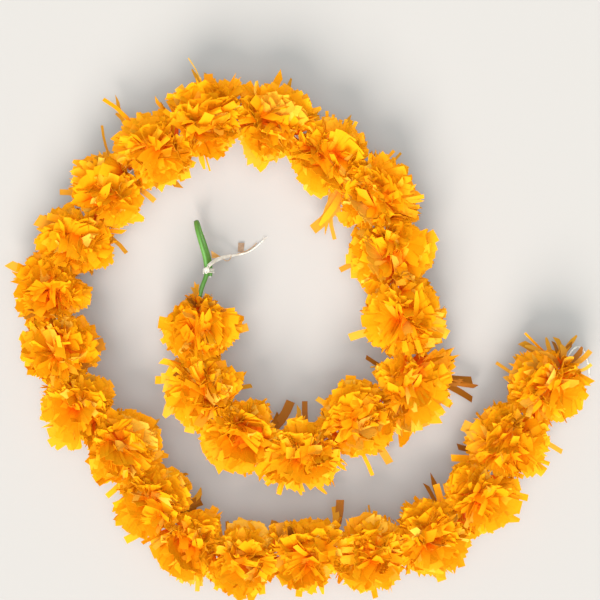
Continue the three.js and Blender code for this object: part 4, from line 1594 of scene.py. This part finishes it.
# The BROWN, BROWNISH and TAN strays paint shade on strips that lie in shadow or are lit from behind.
STRAYS: dict[int, list[tuple]] = {
    1: [(-43, 6, 31, 7, SQUARE, TAN, 0.4), (-50, 13, 34, 6, SLANT, GOLD, 0.3),
        (-46, 12, 33, 6, SQUARE, GOLD, 0.3), (-91, 45, 33, 3.2, POINTED, GOLD, 0.1),
        (-93, 41, 33, 3.5, SLANT, TAN, 0.2), (-89, 43, 34, 3, SQUARE, TAN, -0.1),
        (-97, 32, 32, 4, TORN, BROWN, 0.2), (-101, 29, 32, 3.5, POINTED, TAN, 0.2),
        (-63, 19, 31, 4, TORN, BROWN, -0.2), (-71, 26, 31, 4, SLANT, TAN, -0.2),
        (-65, 22, 33, 4, POINTED, GOLD, 0.1), (-83, 30, 42, 7, TORN, GOLD, 0.1),
        (-87, 29, 41, 7, SLANT, GOLD, 0.2), (-80, 27, 38, 6, SQUARE, GOLD, -0.1),
        (-85, 24, 44, 8, SQUARE, DEEP, 0.1), (-87, 32, 34.6, 6, ROUNDED, DEEP, 0),
        (-85, 31, 35, 6, TORN, GOLD, 0), (-89, 31, 34.6, 5, SLANT, GOLD, 0),
        (-86, 30, 36, 7, SQUARE, GOLD, 0), (-79, 34, 30, 4, SLANT, TAN, 0.1)],
    2: [(-40, -46, 24, 5, SQUARE, TAN, -0.3), (-44, -33, 26, 5, SLANT, GOLD, 0.3),
        (-48, -40, 20, 5, SQUARE, BROWN, 0.2), (-113, -25, 26, 5, TORN, TAN, 0.4),
        (-108, -34, 22, 5, SLANT, BROWN, -0.4), (-126, -41, 30, 7, SQUARE, BRIGHT),
        (-123, -24, 30, 6, SLANT, GOLD)],
    3: [(-7, -60, 14, 8, SQUARE, BROWN), (-16, -67, 18, 6, SLANT, BROWN)],
    4: [(5, -60, 18, 5, SQUARE, BROWN), (29, -135, 30, 5, FORKED, GOLD), (0, -62, 24, 4, SLANT, TAN)],
    5: [(14, -56, 26, 5, SQUARE, PALE, 0.5), (19, -66, 20, 3, ROUNDED, BROWN),
        (43, -38, 40, 9, SQUARE, PALE), (80, -115, 16, 7, SQUARE, TAN), (65, -124, 26, 3.5, SQUARE, GOLD),
        (74, -107, 20, 5, SLANT, TAN)],
    6: [(57, -22, 16, 4.5, SQUARE, BROWN), (136, -20, 18, 6, FORKED, BROWN), (129, -27, 20, 5, TORN, TAN),
        (152, -42, 14, 7.5, SQUARE, BROWN, 0.1), (157, -49, 12, 7.5, SQUARE, BROWN, 0.0),
        (154, -59, 13, 6.5, SQUARE, BROWN, -0.1), (143, -45, 18, 7, SLANT, BROWN, 0.1),
        (125, -68, 34, 8, SQUARE, BRIGHT), (130, -61, 36, 7, SQUARE, BRIGHT),
        (109, -75, 30, 4, SQUARE, GOLD), (112, -82, 15, 6, SLANT, TAN)],
    7: [(43, -4, 36, 7, SQUARE, PALE, 0.2), (65, 33, 38, 6, SQUARE, PALE), (125, -6, 30, 6, SQUARE, GOLD)],
    8: [(35, 55, 24, 5, SQUARE, TAN), (114, 88, 28, 6, SLANT, GOLD)],
    9: [(83, 159, 26, 3, SQUARE, GOLD), (89, 157, 26, 2.5, SQUARE, TAN), (71, 155, 30, 6, SLANT, TAN)],
    10: [(46, 191, 22, 4, ROUNDED, TAN), (60, 168, 26, 4, ROUNDED, GOLD), (58, 153, 26, 5, SLANT, GOLD),
        (11, 88, 22, 9, SQUARE, TAN, -0.5), (19, 86, 24, 8, FORKED, TAN, 0.1),
        (30, 80, 16, 3.5, SQUARE, TAN, 0.5), (37, 95, 20, 6, SLANT, TAN, 0.6),
        (16, 93, 27, 6, TORN, GOLD, -0.4), (27, 105, 25, 6, TORN, TAN, 0.5),
        (10, 190, 34, 2.5, SQUARE, GOLD)],
    11: [(-13, 228, 34, 7, SLANT, GOLD), (-6, 222, 24, 5, TORN, TAN), (-44, 220, 20, 4, POINTED, BROWN),
        (-46, 213, 30, 4, SLANT, GOLD), (-33, 138, 34, 13, ROUNDED, BRIGHT), (1, 209, 34, 6, TORN, GOLD)],
    12: [(-93, 231, 22, 4, TORN, TAN), (-81, 229, 20, 5, SLANT, TAN),
        (-97, 242, 26, 1.1, SQUARE, THREAD, 0.4), (-104, 213, 44, 9, SQUARE, PALE),
        (-111, 196, 40, 8, SQUARE, BRIGHT), (-109, 207, 24, 4, POINTED, TAN),
        (-83, 142, 34, 5, TORN, BRIGHT), (-77, 141, 30, 1.6, SQUARE, GOLD)],
    13: [(-172, 206, 22, 3.6, SQUARE, GOLD, 0.45), (-164, 212, 24, 4, SLANT, TAN, -0.5),
        (-160, 192, 24, 3, SQUARE, TAN, 0.2), (-124, 196, 20, 6, SLANT, TAN),
        (-101, 132, 30, 5, SQUARE, GOLD), (-104, 124, 20, 6, SLANT, TAN)],
    14: [(-172, 182, 26, 2.4, SQUARE, TAN, -0.3), (-210, 123, 26, 5, SQUARE, TAN, 0.4),
        (-198, 144, 28, 6, TORN, TAN, 0.4), (-189, 151, 26, 6, SLANT, TAN, -0.4),
        (-183, 148, 30, 5, TORN, TAN, 0.5), (-176, 154, 26, 5, SLANT, TAN, 0.2),
        (-173, 150, 24, 4, POINTED, BROWN, -0.4), (-126, 115, 24, 5, SQUARE, TAN),
        (-136, 98, 26, 5, SQUARE, GOLD), (-149, 113, 30, 6, SLANT, GOLD)],
    15: [(-228, 100, 40, 12, SQUARE, TAN, 0.1), (-221, 89, 35, 7, SQUARE, GOLD, 0.2),
        (-149, 69, 26, 4, SQUARE, TAN), (-149, 89, 26, 4, SLANT, GOLD),
        (-200, 56, 48, 7, SQUARE, GOLD, 0.1)],
    16: [(-196, 55, 48, 7, SQUARE, DEEP, -0.1), (-256, 62, 32, 9, SLANT, TAN, -0.3),
        (-249, 50, 27, 6, SLANT, TAN, -0.4), (-237, 12, 26, 4, SQUARE, TAN),
        (-243, 21, 36, 9, SQUARE, TAN, 0.2), (-245, 17, 32, 7, SLANT, TAN, -0.2),
        (-232, 18, 40, 6, SQUARE, TAN, 0.1), (-209, 14, 48, 7, SQUARE, DEEP, 0.1),
        (-204, 15, 47, 6, TORN, GOLD, 0.2)],
    17: [(-169, -9, 36, 11, SQUARE, BROWNISH, 0.1), (-208, 11, 47, 8, ROUNDED, GOLD, -0.1),
        (-176, -17, 34, 4, SQUARE, GOLD, 0.2), (-167, -11, 28, 5, SLANT, GOLD, 0.1),
        (-173, -22, 26, 4, SQUARE, GOLD, 0.3), (-185, 0, 32, 6, SQUARE, GOLD, 0.1),
        (-177, -27, 20, 2.5, SQUARE, BROWN, 0.2), (-181, -28, 16, 6, SLANT, BROWN)],
    18: [(-160, -51, 28, 5, SQUARE, GOLD), (-174, -37, 24, 6, SLANT, TAN)],
    19: [(-118, -102, 24, 5, SQUARE, TAN), (-119, -76, 26, 5, SLANT, TAN),
        (-168, -143, 26, 5, SQUARE, GOLD)],
    20: [(-163, -156, 32, 7, ROUNDED, GOLD), (-151, -181, 30, 7, SQUARE, GOLD),
        (-83, -136, 16, 5, SLANT, TAN, 0.5), (-84, -144, 20, 6, SLANT, BROWN, 0.1),
        (-85, -149, 18, 6, SQUARE, BROWN, 0), (-89, -155, 18, 6, SQUARE, BROWN, -0.1),
        (-95, -128, 24, 4, POINTED, TAN)],
    21: [(-112, -209, 28, 6, SQUARE, GOLD)],
    22: [(-62, -164, 24, 7, TORN, BROWNISH, 0.2), (-72, -160, 24, 6, SLANT, TAN, -0.2),
        (-51, -229, 28, 6, TORN, GOLD), (-32, -228, 28, 6, SQUARE, GOLD), (-67, -221, 26, 6, SLANT, GOLD)],
    23: [(-24, -163, 26, 9, ROUNDED, BROWNISH, 0.1), (-16, -164, 24, 8, SQUARE, BROWNISH, -0.1),
        (-8, -165, 24, 6, TORN, BROWN, 0.1), (1, -230, 28, 6, SQUARE, GOLD),
        (38, -146, 16, 7, SQUARE, BROWN), (32, -150, 22, 6, SQUARE, TAN), (20, -228, 28, 5, TORN, GOLD)],
    24: [(58, -153, 24, 2.5, POINTED, TAN), (66, -154, 24, 3, POINTED, GOLD),
        (61, -151, 20, 2, SQUARE, TAN), (67, -231, 28, 6, SQUARE, GOLD), (46, -226, 28, 6, SLANT, GOLD)],
    25: [(116, -123, 14, 5, POINTED, BROWN), (110, -130, 14, 3.5, SLANT, BROWN),
        (119, -131, 30, 6, SQUARE, GOLD)],
    26: [(200, -144, 28, 6, SQUARE, GOLD), (192, -155, 26, 6, SLANT, GOLD)],
    27: [(142, -79, 34, 10, SQUARE, TAN, 0.1), (145, -83, 30, 7, SLANT, TAN, -0.3),
        (139, -100, 16, 8, SQUARE, BROWN), (132, -109, 30, 7, SQUARE, GOLD),
        (230, -103, 30, 5, SQUARE, PALE), (214, -119, 20, 5, SLANT, TAN)],
    28: [(197, 0, 28, 2.5, SQUARE, GOLD), (192, -7, 20, 7, SLANT, TAN), (173, -26, 18, 3, SQUARE, TAN),
        (225, -1, 22, 5, SLANT, TAN, 0.4), (244, -2, 24, 4, TORN, TAN, -0.4),
        (255, -15, 26, 5, SQUARE, TAN, 0.5), (216, -3, 28, 4, TORN, TAN, -0.4),
        (221, -6, 26, 5, SLANT, BROWN, 0.3), (228, -9, 26, 5, TORN, TAN, 0.5),
        (240, -8, 26, 4, SLANT, BROWN, -0.5), (248, -12, 28, 5, TORN, BROWN, 0.4),
        (189, -16, 28, 6, SLANT, TAN, -0.5), (196, -10, 30, 4, TORN, TAN, 0.4),
        (192, -25, 24, 5, TORN, TAN, 0.5), (199, -16, 32, 4, POINTED, TAN, -0.6),
        (183, -31, 20, 5, TORN, TAN, 0.3), (206, -15, 36, 5, SLANT, TAN, 0.4),
        (256, -45, 30, 7, SLANT, GOLD), (252, -57, 30, 6, SQUARE, GOLD), (177, -38, 24, 6, ROUNDED, TAN),
        (187, -19, 24, 6, SLANT, TAN), (257, -27, 30, 3, SQUARE, THREAD, 0.8)],
}  # fmt: skip


@dataclass
class Garland:
    """The string of blooms."""

    film: bpy.types.Material

    def build(self) -> None:
        """Models each kind of strip once, and builds the blooms from copies."""
        patterns = {cut.value: StripPattern(cut) for cut in TipCut}
        for index in range(len(BLOOMS)):
            strays = STRAYS.get(index + 1, [])
            Bloom(BloomPlace(index), patterns, self.film, BROAD[index], strays).build()


def main() -> None:
    """Builds the studio, the cords, the straw and the blooms, in that order."""
    studio = Studio()
    studio.camera()
    thread = ThreadFinish().material()
    film = FilmFinish().material()
    brown_scrap = ScrapFinish("brown_film", (0.33, 0.19, 0.10, 1), (0.43, 0.27, 0.16, 1)).material()
    orange_scrap = ScrapFinish("orange_film", (0.56, 0.25, 0.03, 1), (0.70, 0.37, 0.07, 1)).material()
    Cords(thread, brown_scrap, orange_scrap).build()
    straw = StrawLoop(StrawFinish().material())
    straw.build()
    MainThread(thread, straw).build()
    Garland(film).build()
    studio.light()
    studio.floor()


if __name__ == "__main__":
    main()
